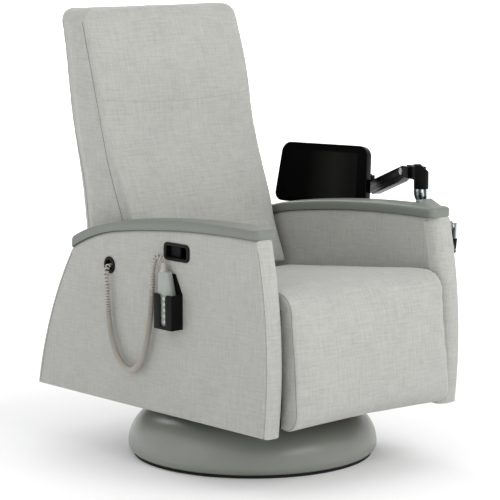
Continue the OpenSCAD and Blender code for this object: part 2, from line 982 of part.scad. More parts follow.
// Swivel body: upright barrel with a sloping crown, spindle below, fork arm to the lift pin
spindle_l = 30;
crown_turn = 131;
crown_slope = 42;
module arm_fork() {
  color([0.06, 0.06, 0.06])
    union() {
      translate([post_x, post_y, socket_z - spindle_l])
        cylinder(h = spindle_l + socket_h + 4, r = 7);
      difference() {
        translate([post_x, post_y, socket_z + socket_h + 0.5])
          cylinder(h = post_top_z - socket_z - socket_h - 0.5, r = post_r);
        at_turn(post_xy, post_top_z, crown_turn)
          translate([-post_r - 5, -2, 0])
            rotate([-crown_slope, 0, 0])
              cube([2 * post_r + 10, 60, 40]);
      }
      at_turn(post_xy, lift_z, arm_turn)
        difference() {
          union() {
            block([-14, 0, -16], [14, fork_l - 22, 20]);
            for (s = [-1, 1])
              block([s * 17 - 4, fork_l - 44, -14], [s * 17 + 4, fork_l - 5, 16]);
            block([-20, fork_l - 44, -14], [20, fork_l - 26, 16]);
            for (s = [-1, 1])
              bar_x(s * 17 - 4, s * 17 + 4, fork_l, 0, 14);
          }
          bar_x(-30, 30, fork_l, 0, 5);
        }
    }
}

module lift_pin() {
  color("silver")
    at_turn(post_xy, lift_z, arm_turn)
      union() {
        bar_x(-21, 21, fork_l, 0, 5);
        for (s = [0, 1])
          mirror([s, 0, 0])
            bar_x(21, 24, fork_l, 0, 9);
      }
}

// Lifting beam, hanging below the pin's height
module arm_beam() {
  color([0.06, 0.06, 0.06])
    at_turn(lift_xy, lift_z, arm_turn)
      rotate([-beam_drop, 0, 0])
        difference() {
          union() {
            bar_x(-12.5, 12.5, 0, 0, 14);
            along_x(-12.5, 12.5)
              polygon([[0, -14], [0, 14], [34, 17], [beam_l - 34, 17], [beam_l - 30, 13],
                       [beam_l - 30, -15], [beam_l - 38, -22], [44, -22]]);
            for (s = [-1, 1])
              block([s * 10.5 - 2, beam_l - 31, -12], [s * 10.5 + 2, beam_l, 12]);
            for (s = [-1, 1])
              bar_x(s * 10.5 - 2, s * 10.5 + 2, beam_l, 0, 12);
          }
          bar_x(-20, 20, 0, 0, 5 + run_clear / 2);
          bar_x(-20, 20, beam_l, 0, 4 + run_clear / 2);
        }
}

// Block at the beam's tip that stays upright, with its cross pin and upright stud
module level_block() {
  color([0.06, 0.06, 0.06])
    union() {
      at_turn(tip_xy, tip_z, arm_turn)
        union() {
          bar_x(-8, 8, 0, 0, 12);
          bar_x(-13, 13, 0, 0, 4);
          block([-8, -8, 0], [8, 8, 18]);
        }
      translate([tip_xy[0], tip_xy[1], tip_z + 15])
        cylinder(h = 27, r = 5);
    }
}

// Link that swings behind the monitor and ends in the tilt spindle
spindle_z = 2.5;
module head_link() {
  color([0.06, 0.06, 0.06])
    at_turn(tip_xy, head_z, -link_turn)
      difference() {
        union() {
          translate([0, 0, -7.5])
            cylinder(h = 20, r = 13);
          block([-8, 0, -7.5], [8, link_l - 17, 12.5]);
          bar_y(link_l - 18, link_l + 17, 0, spindle_z, 6);
        }
        translate([0, 0, -9])
          cylinder(h = 30, r = 5 + run_clear / 2);
      }
}

// Frame of the tilted monitor: origin on the tilt axis, -X is where the screen faces
module in_monitor() {
  at_turn(tilt_xy, head_z + spindle_z, -link_turn)
    rotate([0, screen_back, 0])
      children();
}

module tilt_knuckle() {
  color([0.06, 0.06, 0.06])
    in_monitor()
      difference() {
        union() {
          bar_y(-15, 16, 0, 0, 12);
          block([screen_t / 2 - screen_off, -15, -12], [0, 16, 12]);
          block([screen_t / 2 - screen_off, -38, -38], [screen_t / 2 - screen_off + 6, 38, 38]);
        }
        bar_y(-40, 40, 0, 0, 6 + run_clear / 2);
      }
}

// Face of the monitor, with round corners
glass_t = 2;
module screen_face(inset, r) {
  translate([0, screen_rise])
    round_rect(screen_w - 2 * inset, screen_h - 2 * inset, r);
}

module monitor_case() {
  color([0.04, 0.04, 0.04])
    in_monitor()
      difference() {
        along_x(-screen_off - screen_t / 2, -screen_off + screen_t / 2)
          screen_face(0, 26);
        along_x(-screen_off - screen_t / 2 - 1, -screen_off - screen_t / 2 + glass_t)
          screen_face(4, 22);
      }
}

module monitor_glass() {
  color([0.1, 0.1, 0.11])
    in_monitor()
      along_x(-screen_off - screen_t / 2, -screen_off - screen_t / 2 + glass_t)
        screen_face(4.5, 21.5);
}

floor_plate();
glide_ring();
base_dome();
pedestal();
pedestal_bolts();
lower_race();
bearing_balls();
upper_race();
swivel_hub();
swivel_plate();
seat_frame();
hinge_plates();
side_panel_right();
side_panel_left();
arm_cap_right();
arm_cap_left();
cap_bolts();
seat_deck();
seat_cushion();
knee_roll();
legrest_frame();
legrest_pad();
knee_pins();
legrest_motor();
legrest_rod();
recline_motor();
recline_rod();
control_box();
rear_apron();
back_frame();
back_shell();
back_pad();
recline_pins();
cord_grommet();
cord_gland();
handset_cord();
handset_pocket();
pocket_screws();
handset();
handset_neck();
button_1();
button_2();
button_3();
button_4();
button_5();
release_housing();
release_paddle();
monitor_bracket();
bracket_screws();
post_socket();
clamp_lever();
arm_fork();
lift_pin();
arm_beam();
level_block();
head_link();
tilt_knuckle();
monitor_case();
monitor_glass();
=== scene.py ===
import json
import math

import bmesh
import bpy
from mathutils import Matrix, Vector, geometry
from mathutils.bvhtree import BVHTree

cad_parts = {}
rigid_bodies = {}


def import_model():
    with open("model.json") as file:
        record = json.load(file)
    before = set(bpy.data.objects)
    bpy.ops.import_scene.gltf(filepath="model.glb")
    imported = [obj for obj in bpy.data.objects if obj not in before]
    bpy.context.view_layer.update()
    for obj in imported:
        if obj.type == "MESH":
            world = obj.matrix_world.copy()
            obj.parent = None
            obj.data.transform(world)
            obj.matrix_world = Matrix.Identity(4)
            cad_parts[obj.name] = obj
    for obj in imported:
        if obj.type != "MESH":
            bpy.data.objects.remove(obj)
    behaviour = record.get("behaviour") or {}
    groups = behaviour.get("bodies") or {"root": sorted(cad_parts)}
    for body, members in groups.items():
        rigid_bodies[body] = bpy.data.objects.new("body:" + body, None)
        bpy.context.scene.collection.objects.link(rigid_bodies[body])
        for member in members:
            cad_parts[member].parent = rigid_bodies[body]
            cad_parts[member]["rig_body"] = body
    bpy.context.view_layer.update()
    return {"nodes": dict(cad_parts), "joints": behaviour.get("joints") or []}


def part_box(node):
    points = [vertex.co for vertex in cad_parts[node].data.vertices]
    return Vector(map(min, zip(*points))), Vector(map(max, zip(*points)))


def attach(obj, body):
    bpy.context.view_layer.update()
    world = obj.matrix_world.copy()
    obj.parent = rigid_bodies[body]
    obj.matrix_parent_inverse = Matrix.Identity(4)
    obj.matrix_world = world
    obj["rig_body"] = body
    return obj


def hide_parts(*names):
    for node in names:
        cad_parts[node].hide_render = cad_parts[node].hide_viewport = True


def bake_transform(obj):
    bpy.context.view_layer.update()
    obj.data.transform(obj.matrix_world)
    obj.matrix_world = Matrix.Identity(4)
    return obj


bl_info = {
    "name": "Patient Recliner",
    "version": (1, 0, 0),
    "blender": (4, 5, 0),
    "location": "View3D > Sidebar > Recliner",
    "description": "Builds the looks of a swivel patient recliner round its packed frame",
    "category": "Add Mesh",
}

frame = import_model()
joints = {joint["name"]: joint for joint in frame["joints"]}


# ---- sizes that come from the frame ----

PANEL_LOW, PANEL_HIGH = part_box("side_panel_left")
HALF_IN, HALF_W = PANEL_LOW.x, PANEL_HIGH.x
SKIRT_Z = PANEL_LOW.z
FLOOR_GAP = 0.0006
SIDES = (("right", -1), ("left", 1))

# Side outline of a panel: front arc, two-arc arch, rear arc (centre y, centre z, radius)
FRONT_ARC = (0.901, SKIRT_Z + 0.174, 1.335)
REAR_ARC = (-0.50006, SKIRT_Z - 0.18, 1.024)
ARCH = (-0.32, SKIRT_Z + 0.493 - 3.3, 3.3)
TAIL_FROM, TAIL_R, TAIL_KINK = 0.165, 0.6, math.radians(1.5)


def arch_top(y):
    """Height of the arm's arch at a distance along the chair."""
    front = ARCH[1] + math.sqrt(ARCH[2] ** 2 - (y - ARCH[0]) ** 2)
    if y < TAIL_FROM:
        return front
    lean = math.asin((TAIL_FROM - ARCH[0]) / ARCH[2])
    tail_y = TAIL_FROM - TAIL_R * math.sin(lean + TAIL_KINK)
    tail_z = ARCH[1] + ARCH[2] * math.cos(lean) - TAIL_R * math.cos(lean + TAIL_KINK)
    return tail_z + math.sqrt(TAIL_R ** 2 - (y - tail_y) ** 2)


def front_edge(z):
    return FRONT_ARC[0] - math.sqrt(FRONT_ARC[2] ** 2 - (z - FRONT_ARC[1]) ** 2)


def rear_edge(z):
    return REAR_ARC[0] + math.sqrt(REAR_ARC[2] ** 2 - (z - REAR_ARC[1]) ** 2)


def top_of(edge):
    """Height at which a panel's front or rear edge runs into the arch."""
    low, high = SKIRT_Z, SKIRT_Z + 0.6
    for _ in range(40):
        middle = (low + high) / 2
        if middle < arch_top(edge(middle)):
            low = middle
        else:
            high = middle
    return low


# ---- settings ----


def colour_setting(name, description, default):
    return bpy.props.FloatVectorProperty(name=name, description=description, default=default, subtype="COLOR",
                                         size=3, min=0, max=1)


def length_setting(name, description, default, low, high):
    return bpy.props.FloatProperty(name=name, description=description, default=default, min=low, max=high,
                                   unit="LENGTH", subtype="DISTANCE")


class ReclinerCover(bpy.types.PropertyGroup):
    """Fabric of the panels, seat and backrest"""

    light: colour_setting("Light thread", "Colour of the lighter threads", (0.438, 0.440, 0.413))
    dark: colour_setting("Dark thread", "Colour of the darker threads", (0.302, 0.305, 0.283))
    thread: length_setting("Thread pitch", "Distance from one thread to the next", 0.0011, 0.0004, 0.004)
    stitch: length_setting("Stitch length", "Length of one topstitch", 0.0036, 0.002, 0.008)
    swell: length_setting("Swell", "How far the foam may push the cover out", 0.011, 0.0, 0.03)
    voxel: length_setting("Cloth cell", "Size of the cells that the cover is cut into", 0.006, 0.004, 0.012)


class ReclinerTrim(bpy.types.PropertyGroup):
    """Arm caps, base and hard parts"""

    cap: colour_setting("Arm caps", "Colour of the moulded arm caps", (0.145, 0.160, 0.137))
    dome: colour_setting("Base dome", "Colour of the painted base", (0.205, 0.216, 0.190))
    cap_round: length_setting("Cap edge", "Rounding of an arm cap's upper edges", 0.0085, 0.002, 0.012)
    edge: length_setting("Panel edge", "Rounding of the upholstered panels' edges", 0.010, 0.003, 0.016)


class ReclinerCord(bpy.types.PropertyGroup):
    """Curly cord of the handset"""

    wire: length_setting("Wire", "Diameter of the jacketed wire", 0.0045, 0.003, 0.006)
    coil: length_setting("Coil", "Outer diameter of the coil", 0.018, 0.012, 0.024)
    pitch: length_setting("Closed pitch", "Distance between turns where the coil is closed",
                          0.0053, 0.0048, 0.01)
    spread: length_setting("Stretched pitch", "Distance between turns where the coil is pulled open",
                          0.0115, 0.006, 0.02)


class ReclinerSettings(bpy.types.PropertyGroup):
    """Everything a user would change on the recliner"""

    cover: bpy.props.PointerProperty(type=ReclinerCover, name="Cover", description="Upholstery")
    trim: bpy.props.PointerProperty(type=ReclinerTrim, name="Trim", description="Hard trim")
    cord: bpy.props.PointerProperty(type=ReclinerCord, name="Cord", description="Handset cord")


def settings():
    return bpy.context.scene.recliner


# ---- materials ----


class Finish:
    """A material with a Principled shader, and short ways to add nodes to it."""

    def __init__(self, name, color, roughness, **sockets):
        self.material = bpy.data.materials.new(name)
        self.material.use_nodes = True
        self.tree = self.material.node_tree
        self.shader = self.tree.nodes["Principled BSDF"]
        self.shader.inputs["Base Color"].default_value = (*color, 1)
        self.shader.inputs["Roughness"].default_value = roughness
        for socket, value in sockets.items():
            self.shader.inputs[socket.replace("_", " ")].default_value = value

    def add(self, kind, *inputs, **settings_of_node):
        node = self.tree.nodes.new("ShaderNode" + kind)
        for key, value in settings_of_node.items():
            setattr(node, key, value)
        for i, value in enumerate(inputs):
            self.feed(node.inputs[i], value)
        return node

    def feed(self, socket, value):
        if isinstance(value, bpy.types.NodeSocket):
            self.tree.links.new(value, socket)
        else:
            socket.default_value = value

    def scaled(self, vector, scale):
        mapping = self.add("Mapping")
        self.feed(mapping.inputs["Vector"], vector)
        mapping.inputs["Scale"].default_value = scale
        return mapping.outputs["Vector"]

    def place(self, scale=(1, 1, 1)):
        return self.scaled(self.add("TexCoord").outputs["Object"], scale)

    def speckle(self, vector, scale, detail=3.0, roughness=0.55):
        node = self.add("TexNoise")
        self.feed(node.inputs["Vector"], vector)
        node.inputs["Scale"].default_value = scale
        node.inputs["Detail"].default_value = detail
        node.inputs["Roughness"].default_value = roughness
        return node.outputs["Fac"]

    def maths(self, operation, a, b=0.0, c=0.0):
        return self.add("Math", a, b, c, operation=operation).outputs[0]

    def spread(self, value, low, high, to_low, to_high):
        node = self.add("MapRange")
        for name, v in (("Value", value), ("From Min", low), ("From Max", high),
                        ("To Min", to_low), ("To Max", to_high)):
            self.feed(node.inputs[name], v)
        return node.outputs["Result"]

    def blend_colors(self, factor, a, b):
        node = self.add("Mix", data_type="RGBA")
        self.feed(node.inputs["Factor"], factor)
        self.feed(node.inputs[6], (*a, 1) if isinstance(a, tuple) else a)
        self.feed(node.inputs[7], (*b, 1) if isinstance(b, tuple) else b)
        return node.outputs[2]

    def color(self, value):
        self.feed(self.shader.inputs["Base Color"], value)

    def roughness(self, value):
        self.feed(self.shader.inputs["Roughness"], value)

    def bump(self, height, strength, distance):
        node = self.add("Bump")
        node.inputs["Strength"].default_value = strength
        node.inputs["Distance"].default_value = distance
        self.feed(node.inputs["Height"], height)
        self.feed(self.shader.inputs["Normal"], node.outputs["Normal"])


FINISHES = {}


def finish(name):
    """The material of that name, made the first time it is asked for."""
    if name not in FINISHES:
        FINISHES[name] = FINISH_MAKERS[name]().material
    return FINISHES[name]


# A band of the wave texture at scale 1 repeats over this length
WAVE_BAND = 0.3142


def linen(name, light, dark):
    """Upholstery cross-weave on UVs in metres: fine threads, long slubs both ways and a soft mottle."""
    f = Finish(name, light, 0.86, Sheen_Weight=0.25, Sheen_Roughness=0.5, Specular_IOR_Level=0.25)
    uv = f.add("TexCoord").outputs["UV"]

    def threads(across, along, detail, weight):
        """Streaks both ways, so many to the metre across and along, as one weighted sum."""
        weft, warp = (f.speckle(f.scaled(uv, scale), 1, detail, 0.6)
                      for scale in ((across, along, 1), (along, across, 1)))
        return f.maths("MULTIPLY", f.maths("ADD", weft, warp), weight)

    streaks = f.maths("ADD", threads(36, 620, 3, 0.5), threads(15, 190, 2, 0.42))
    mottle = f.maths("MULTIPLY", f.speckle(uv, 9, 3), 0.22)
    streaks = f.maths("ADD", streaks, mottle)
    share = f.spread(streaks, 0.83, 1.26, 0, 1)
    wave_scale = WAVE_BAND / settings().cover.thread
    waves = []
    for direction in ("X", "Y"):
        wave = f.add("TexWave", wave_type="BANDS", bands_direction=direction)
        f.feed(wave.inputs["Vector"], f.scaled(uv, (wave_scale, wave_scale, 1)))
        wave.inputs["Scale"].default_value = 1
        wave.inputs["Distortion"].default_value = 0.6
        waves.append(wave.outputs["Fac"])
    weave = f.maths("MULTIPLY", f.maths("ADD", waves[0], waves[1]), 0.5)
    shade = f.maths("ADD", f.maths("MULTIPLY", share, 0.8), f.maths("MULTIPLY", weave, 0.2))
    f.color(f.blend_colors(shade, dark, light))
    f.bump(f.maths("ADD", weave, f.maths("MULTIPLY", streaks, 1.4)), 0.5, 0.0004)
    return f


def make_cover():
    cover = settings().cover
    return linen("upholstery", tuple(cover.light), tuple(cover.dark))


def make_seam():
    f = Finish("seam_shadow", (0.20, 0.20, 0.185), 0.95, Specular_IOR_Level=0.1)
    f.color(f.blend_colors(f.speckle(f.place(), 900), (0.13, 0.13, 0.12), (0.27, 0.27, 0.25)))
    return f


def make_thread():
    f = Finish("topstitch", (0.56, 0.56, 0.52), 0.7, Sheen_Weight=0.2)
    f.color(f.blend_colors(f.speckle(f.place(), 1600), (0.44, 0.44, 0.41), (0.63, 0.63, 0.59)))
    return f


def moulded(name, color, roughness, grain, wear=0.15, **sockets):
    """Moulded or painted skin: fine orange peel, faint tone changes and a patchy gloss."""
    f = Finish(name, color, roughness, **sockets)
    place = f.place()
    cloud = f.speckle(place, 14, 4)
    fine = f.speckle(place, grain, 2)
    dark = tuple(c * (1 - wear) for c in color)
    light = tuple(min(1, c * (1 + wear)) for c in color)
    tone = f.maths("ADD", f.maths("MULTIPLY", cloud, 0.75), f.maths("MULTIPLY", fine, 0.25))
    f.color(f.blend_colors(tone, dark, light))
    f.roughness(f.spread(cloud, 0.3, 0.7, roughness * 0.86, roughness * 1.14))
    f.bump(fine, 0.12, 0.0003)
    return f


def metal(name, color, roughness, along):
    """Bare or plated metal, brushed along an axis."""
    f = Finish(name, color, roughness, Metallic=1.0)
    lines = f.speckle(f.place(scale=tuple(900 if a else 30 for a in along)), 1, 3)
    cloud = f.speckle(f.place(), 24, 3)
    f.roughness(f.spread(f.maths("ADD", lines, cloud), 0.7, 1.3, roughness * 0.75, roughness * 1.3))
    f.color(f.blend_colors(cloud, tuple(c * 0.9 for c in color), color))
    f.bump(lines, 0.05, 0.0002)
    return f


def make_chrome():
    """Bright plating with a painted reflection: its colour is banded dark and light by the way each part of
    the surface faces.
    """
    f = Finish("chrome", (0.5, 0.54, 0.56), 0.18, Metallic=1.0)
    # painted reflection: dark and light bands set by the surface's facing stand in for the surroundings
    # mirrored in the plating
    facing = f.add("SeparateXYZ", f.add("TexCoord").outputs["Normal"]).outputs
    turn = f.maths("MULTIPLY", f.maths("SUBTRACT", facing["X"], facing["Y"]), 6.5)
    band = f.maths("SINE", f.maths("ADD", turn, f.maths("MULTIPLY", facing["Z"], 2.0)))
    f.color(f.blend_colors(f.spread(band, -0.4, 0.9, 0, 1), (0.05, 0.062, 0.07), (0.72, 0.76, 0.78)))
    f.roughness(f.spread(f.speckle(f.place(), 60), 0.3, 0.7, 0.14, 0.24))
    return f


def make_screen():
    f = Finish("monitor_panel", (0.002, 0.002, 0.002), 0.14, Specular_IOR_Level=0.01)
    smudge = f.speckle(f.place(), 17, 4)
    f.color(f.blend_colors(smudge, (0.0012, 0.0013, 0.0012), (0.003, 0.0032, 0.003)))
    f.roughness(f.spread(smudge, 0.3, 0.7, 0.07, 0.16))
    return f


def make_display():
    """The dark picture area, with a painted reflection that lifts it to a soft grey toward one side."""
    f = Finish("monitor_display", (0.003, 0.003, 0.003), 0.25, Specular_IOR_Level=0.01)
    # painted reflection: a soft grey band across the picture area, brightest a little past its middle
    across = f.add("SeparateXYZ", f.add("TexCoord").outputs["UV"]).outputs["X"]
    share = f.spread(across, 0.30, 0.92, 0.0, 1.0)
    from_middle = f.maths("ABSOLUTE", f.maths("SUBTRACT", share, 0.62))
    lift = f.maths("SUBTRACT", 1.0, f.maths("MULTIPLY", from_middle, 1.5))
    grain = f.speckle(f.place(), 1500, 2)
    color = f.blend_colors(lift, (0.0012, 0.0013, 0.0012), (0.013, 0.0142, 0.0126))
    f.color(f.blend_colors(f.maths("MULTIPLY", grain, 0.2), color, (0.008, 0.008, 0.008)))
    return f


def make_plywood():
    f = Finish("plywood", (0.55, 0.41, 0.27), 0.7)
    rings = f.speckle(f.place(scale=(8, 90, 90)), 1.2, 5, 0.65)
    f.color(f.blend_colors(rings, (0.42, 0.29, 0.17), (0.66, 0.52, 0.36)))
    f.bump(rings, 0.25, 0.0004)
    return f


def make_floor():
    f = Finish("studio_floor", (0.93, 0.93, 0.935), 0.8, Specular_IOR_Level=0.1)
    place = f.place()
    f.color(f.blend_colors(f.speckle(place, 2, 2), (0.92, 0.92, 0.925), (0.94, 0.94, 0.945)))
    # painted light: the floor glows more the farther it lies from the chair, so that it fades into the white
    # backdrop
    away = f.add("VectorMath", place, operation="LENGTH").outputs["Value"]
    f.feed(f.shader.inputs["Emission Strength"], f.spread(away, 0.9, 3.2, 0.0, 0.6))
    f.feed(f.shader.inputs["Emission Color"], (1, 1, 1, 1))
    return f


FINISH_MAKERS = {
    "cover": make_cover,
    "seam": make_seam,
    "thread": make_thread,
    "cap": lambda: moulded("cap_urethane", tuple(settings().trim.cap), 0.44, 700, 0.05, Coat_Weight=0.12,
                           Coat_Roughness=0.35),
    "dome": lambda: moulded("base_paint", tuple(settings().trim.dome), 0.36, 900, 0.04, Coat_Weight=0.2,
                            Coat_Roughness=0.25),
    "dark_steel": lambda: moulded("dark_steel", (0.045, 0.046, 0.048), 0.5, 800, 0.2),
    "zinc": lambda: metal("bright_steel", (0.60, 0.60, 0.60), 0.34, (0, 1, 1)),
    "chrome": make_chrome,
    "rubber": lambda: moulded("rubber", (0.012, 0.012, 0.012), 0.8, 1200, 0.3, Specular_IOR_Level=0.2),
    "black_plastic": lambda: moulded("black_plastic", (0.003, 0.003, 0.0032), 0.42, 1600, 0.25,
                                     Specular_IOR_Level=0.1),
    "soft_black": lambda: moulded("soft_black", (0.005, 0.005, 0.0052), 0.5, 1600, 0.2,
                                  Specular_IOR_Level=0.1),
    "handset": lambda: moulded("handset_plastic", (0.285, 0.305, 0.280), 0.38, 1100, 0.04, Coat_Weight=0.1),
    "buttons": lambda: moulded("button_rubber", (0.42, 0.46, 0.43), 0.6, 1300, 0.05),
    "cord": lambda: moulded("cord_jacket", (0.375, 0.352, 0.308), 0.42, 500, 0.07, Coat_Weight=0.15),
    "arm_black": lambda: moulded("arm_paint", (0.0022, 0.0022, 0.0024), 0.3, 1500, 0.2,
                                 Specular_IOR_Level=0.07),
    "bracket": lambda: moulded("bracket_paint", (0.175, 0.191, 0.168), 0.36, 900, 0.05),
    "monitor": lambda: moulded("monitor_shell", (0.0018, 0.0018, 0.002), 0.22, 1500, 0.2,
                               Specular_IOR_Level=0.05),
    "screen": make_screen,
    "display": make_display,
    "plywood": make_plywood,
    "floor": make_floor,
}


# ---- making and finishing pieces ----


def keep_creases(bm, degrees=38):
    """Smooth faces, with the edges past that angle kept sharp."""
    for face in bm.faces:
        face.smooth = True
    for edge in bm.edges:
        edge.smooth = len(edge.link_faces) == 2 and edge.calc_face_angle(0) < math.radians(degrees)


def lay_weave(mesh):
    """UVs in metres: each face is seen straight on along the axis it faces most."""
    layer = mesh.uv_layers.new(name="weave") if not mesh.uv_layers else mesh.uv_layers[0]
    for face in mesh.polygons:
        n = [abs(c) for c in face.normal]
        flat = ((1, 2), (0, 2), (0, 1))[n.index(max(n))]
        for loop in face.loop_indices:
            co = mesh.vertices[mesh.loops[loop].vertex_index].co
            layer.data[loop].uv = (co[flat[0]], co[flat[1]])


def placed(name, bm):
    """An object in the scene that takes over a bmesh."""
    mesh = bpy.data.meshes.new(name)
    bm.to_mesh(mesh)
    bm.free()
    obj = bpy.data.objects.new(name, mesh)
    bpy.context.scene.collection.objects.link(obj)
    return obj


def piece(name, bm, look, body, replaces=(), crease=38, ride=True):
    """A finished piece from a bmesh, riding on its body."""
    keep_creases(bm, crease)
    obj = placed(name, bm)
    mesh = obj.data
    mesh.materials.append(finish(look))
    if look == "cover":
        lay_weave(mesh)
    if ride:
        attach(obj, body)
    if replaces:
        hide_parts(*replaces)
    return obj


def add_box(bm, low, high):
    middle = [(a + b) / 2 for a, b in zip(low, high)]
    size = [b - a for a, b in zip(low, high)]
    matrix = Matrix.Translation(middle) @ Matrix.Diagonal((*size, 1))
    return bmesh.ops.create_cube(bm, size=1, matrix=matrix)["verts"]


def add_rod(bm, start, end, radius, sides=32):
    start, end = Vector(start), Vector(end)
    turn = (end - start).to_track_quat("Z", "Y").to_matrix().to_4x4()
    bmesh.ops.create_cone(bm, cap_ends=True, segments=sides, radius1=radius, radius2=radius,
                          depth=(end - start).length, matrix=Matrix.Translation((start + end) / 2) @ turn)


def add_outline(bm, points, x0, x1):
    """A closed side outline of (y, z) points, extruded across the chair."""
    verts = [bm.verts.new((x0, y, z)) for y, z in points]
    face = bm.faces.new(verts)
    made = bmesh.ops.extrude_face_region(bm, geom=[face])
    moved = [v for v in made["geom"] if isinstance(v, bmesh.types.BMVert)]
    bmesh.ops.translate(bm, verts=moved, vec=(x1 - x0, 0, 0))
    bmesh.ops.recalc_face_normals(bm, faces=bm.faces)


def add_turned(bm, profile, centre, steps=64):
    """A closed turned shape from (radius, height) points, spun about an upright line."""
    verts = [bm.verts.new((centre[0] + r, centre[1], centre[2] + z)) for r, z in profile]
    edges = [bm.edges.new(pair) for pair in zip(verts, verts[1:])]
    bmesh.ops.spin(bm, geom=verts + edges, cent=centre, axis=(0, 0, 1), angle=2 * math.pi,
                   steps=steps, use_merge=True, use_duplicate=False)
    bmesh.ops.remove_doubles(bm, verts=bm.verts, dist=1e-6)
    bmesh.ops.recalc_face_normals(bm, faces=bm.faces)


def round_edges(bm, edges, width, segments=3):
    edges = list(edges)
    if edges:
        bmesh.ops.bevel(bm, geom=edges, offset=width, offset_type="OFFSET", segments=segments, profile=0.5,
                        affect="EDGES", clamp_overlap=True, material=-1)


def sharp(bm, degrees=30):
    return [e for e in bm.edges if len(e.link_faces) == 2 and e.calc_face_angle(0) > math.radians(degrees)]


def spans(edge, axis):
    """How far an edge reaches along an axis."""
    return abs(edge.verts[0].co[axis] - edge.verts[1].co[axis])


def rims_of(bm):
    """The edges that lie in a side face, so run along the chair or up it."""
    return [e for e in bm.edges if spans(e, 0) < 1e-6]


def slice_at(bm, place, normal, dist=1e-5):
    """Cuts every face where a plane crosses it."""
    bmesh.ops.bisect_plane(bm, geom=bm.verts[:] + bm.edges[:] + bm.faces[:], dist=dist,
                           plane_co=place, plane_no=normal)


def softened(node, look, width, segments=2):
    """A copy of a CAD node with its edges rounded, shown in the node's place."""
    bm = bmesh.new()
    bm.from_mesh(frame["nodes"][node].data)
    bmesh.ops.remove_doubles(bm, verts=bm.verts, dist=2e-6)
    bmesh.ops.dissolve_limit(bm, angle_limit=math.radians(0.5), verts=bm.verts, edges=bm.edges)
    round_edges(bm, sharp(bm), width, segments)
    return piece(node + "_shaped", bm, look, frame["nodes"][node]["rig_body"], (node,))


def dress(look, *nodes):
    """Gives CAD nodes that are shown as they are their finish."""
    for node in nodes:
        obj = frame["nodes"][node]
        obj.data.materials.clear()
        obj.data.materials.append(finish(look))


def baked(obj):
    """Swaps an object's mesh for what its modifiers make of it."""
    mesh = bpy.data.meshes.new_from_object(obj.evaluated_get(bpy.context.evaluated_depsgraph_get()))
    obj.modifiers.clear()
    old = obj.data
    obj.data = mesh
    bpy.data.meshes.remove(old)


def cut(obj, cutter_bm):
    """Cuts a shape out of a piece."""
    cutter = placed("cutter", cutter_bm)
    boolean = obj.modifiers.new("cut", "BOOLEAN")
    boolean.operation = "DIFFERENCE"
    boolean.solver = "EXACT"
    boolean.object = cutter
    bpy.context.view_layer.update()
    baked(obj)
    bpy.data.objects.remove(cutter)


FOAM_PRESSURE = 4.0
FOAM_FRAMES = 20


def pad_out(obj):
    """Foam under a cover: the shape is cut into even cells, blown up as cloth, and held within the swell."""
    cover = settings().cover
    swell = cover.swell
    remesh = obj.modifiers.new("cells", "REMESH")
    remesh.mode = "VOXEL"
    remesh.voxel_size = cover.voxel
    remesh.use_smooth_shade = True
    bpy.context.view_layer.update()
    baked(obj)
    start = [v.co.copy() for v in obj.data.vertices]
    cloth = obj.modifiers.new("foam", "CLOTH")
    cloth.settings.quality = 4
    cloth.settings.mass = 0.25
    cloth.settings.tension_stiffness = 18
    cloth.settings.compression_stiffness = 18
    cloth.settings.shear_stiffness = 8
    cloth.settings.bending_stiffness = 4
    cloth.settings.use_pressure = True
    cloth.settings.uniform_pressure_force = FOAM_PRESSURE
    cloth.settings.effector_weights.gravity = 0
    cloth.collision_settings.use_collision = False
    cloth.collision_settings.use_self_collision = False
    cloth.point_cache.frame_start = 1
    cloth.point_cache.frame_end = FOAM_FRAMES
    for step in range(1, FOAM_FRAMES + 1):
        bpy.context.scene.frame_set(step)
    baked(obj)
    bpy.context.scene.frame_set(1)
    for v, rest in zip(obj.data.vertices, start):
        move = v.co - rest
        v.co = rest + move * (swell / (swell + move.length))
    bm = bmesh.new()
    bm.from_mesh(obj.data)
    bmesh.ops.smooth_vert(bm, verts=bm.verts, factor=0.4,
                          use_axis_x=True, use_axis_y=True, use_axis_z=True)
    for face in bm.faces:
        face.smooth = True
    bm.to_mesh(obj.data)
    bm.free()
    lay_weave(obj.data)


CREST_STEP = 0.02
CREST_DIP = 0.012


def fit_cover(obj, half_at, top=None):
    """Brings a padded cover to its half-width at each point and, with a top, its upper edge to that level."""
    vertices = obj.data.vertices
    wide = max(abs(v.co.x) for v in vertices)
    if top is not None:
        high = max(v.co.z for v in vertices)
        low = min(v.co.z for v in vertices)
        crest = [high - CREST_DIP] * (int(2 * wide / CREST_STEP) + 2)
        for v in vertices:
            i = round((v.co.x + wide) / CREST_STEP)
            crest[i] = max(crest[i], v.co.z)
        for v in vertices:
            at = (v.co.x + wide) / CREST_STEP
            i = min(int(at), len(crest) - 2)
            level = crest[i] + (crest[i + 1] - crest[i]) * (at - i)
            v.co.z = low + (v.co.z - low) * (top - low) / (level - low)
    for v in vertices:
        v.co.x *= half_at(v.co) / wide
    obj.data.update()


def laid_on(target, points, toward, lift=0.0):
    """The points pushed onto a piece's surface along a direction, with the surface's normal at each."""
    bm = bmesh.new()
    bm.from_mesh(target.data)
    tree = BVHTree.FromBMesh(bm)
    bm.free()
    out = []
    for i, p in enumerate(points):
        way = Vector(toward(i) if callable(toward) else toward).normalized()
        hit, normal, _, _ = tree.ray_cast(Vector(p) - way * 0.08, way, 0.2)
        if hit is not None:
            out.append((hit + normal * lift, normal))
    return out


def even(points, step):
    """Points a step apart along a line of points."""
    out, left = [points[0]], step
    for a, b in zip(points, points[1:]):
        length = (b - a).length
        while left <= length:
            out.append(a.lerp(b, left / length))
            left += step
        left -= length
    return out


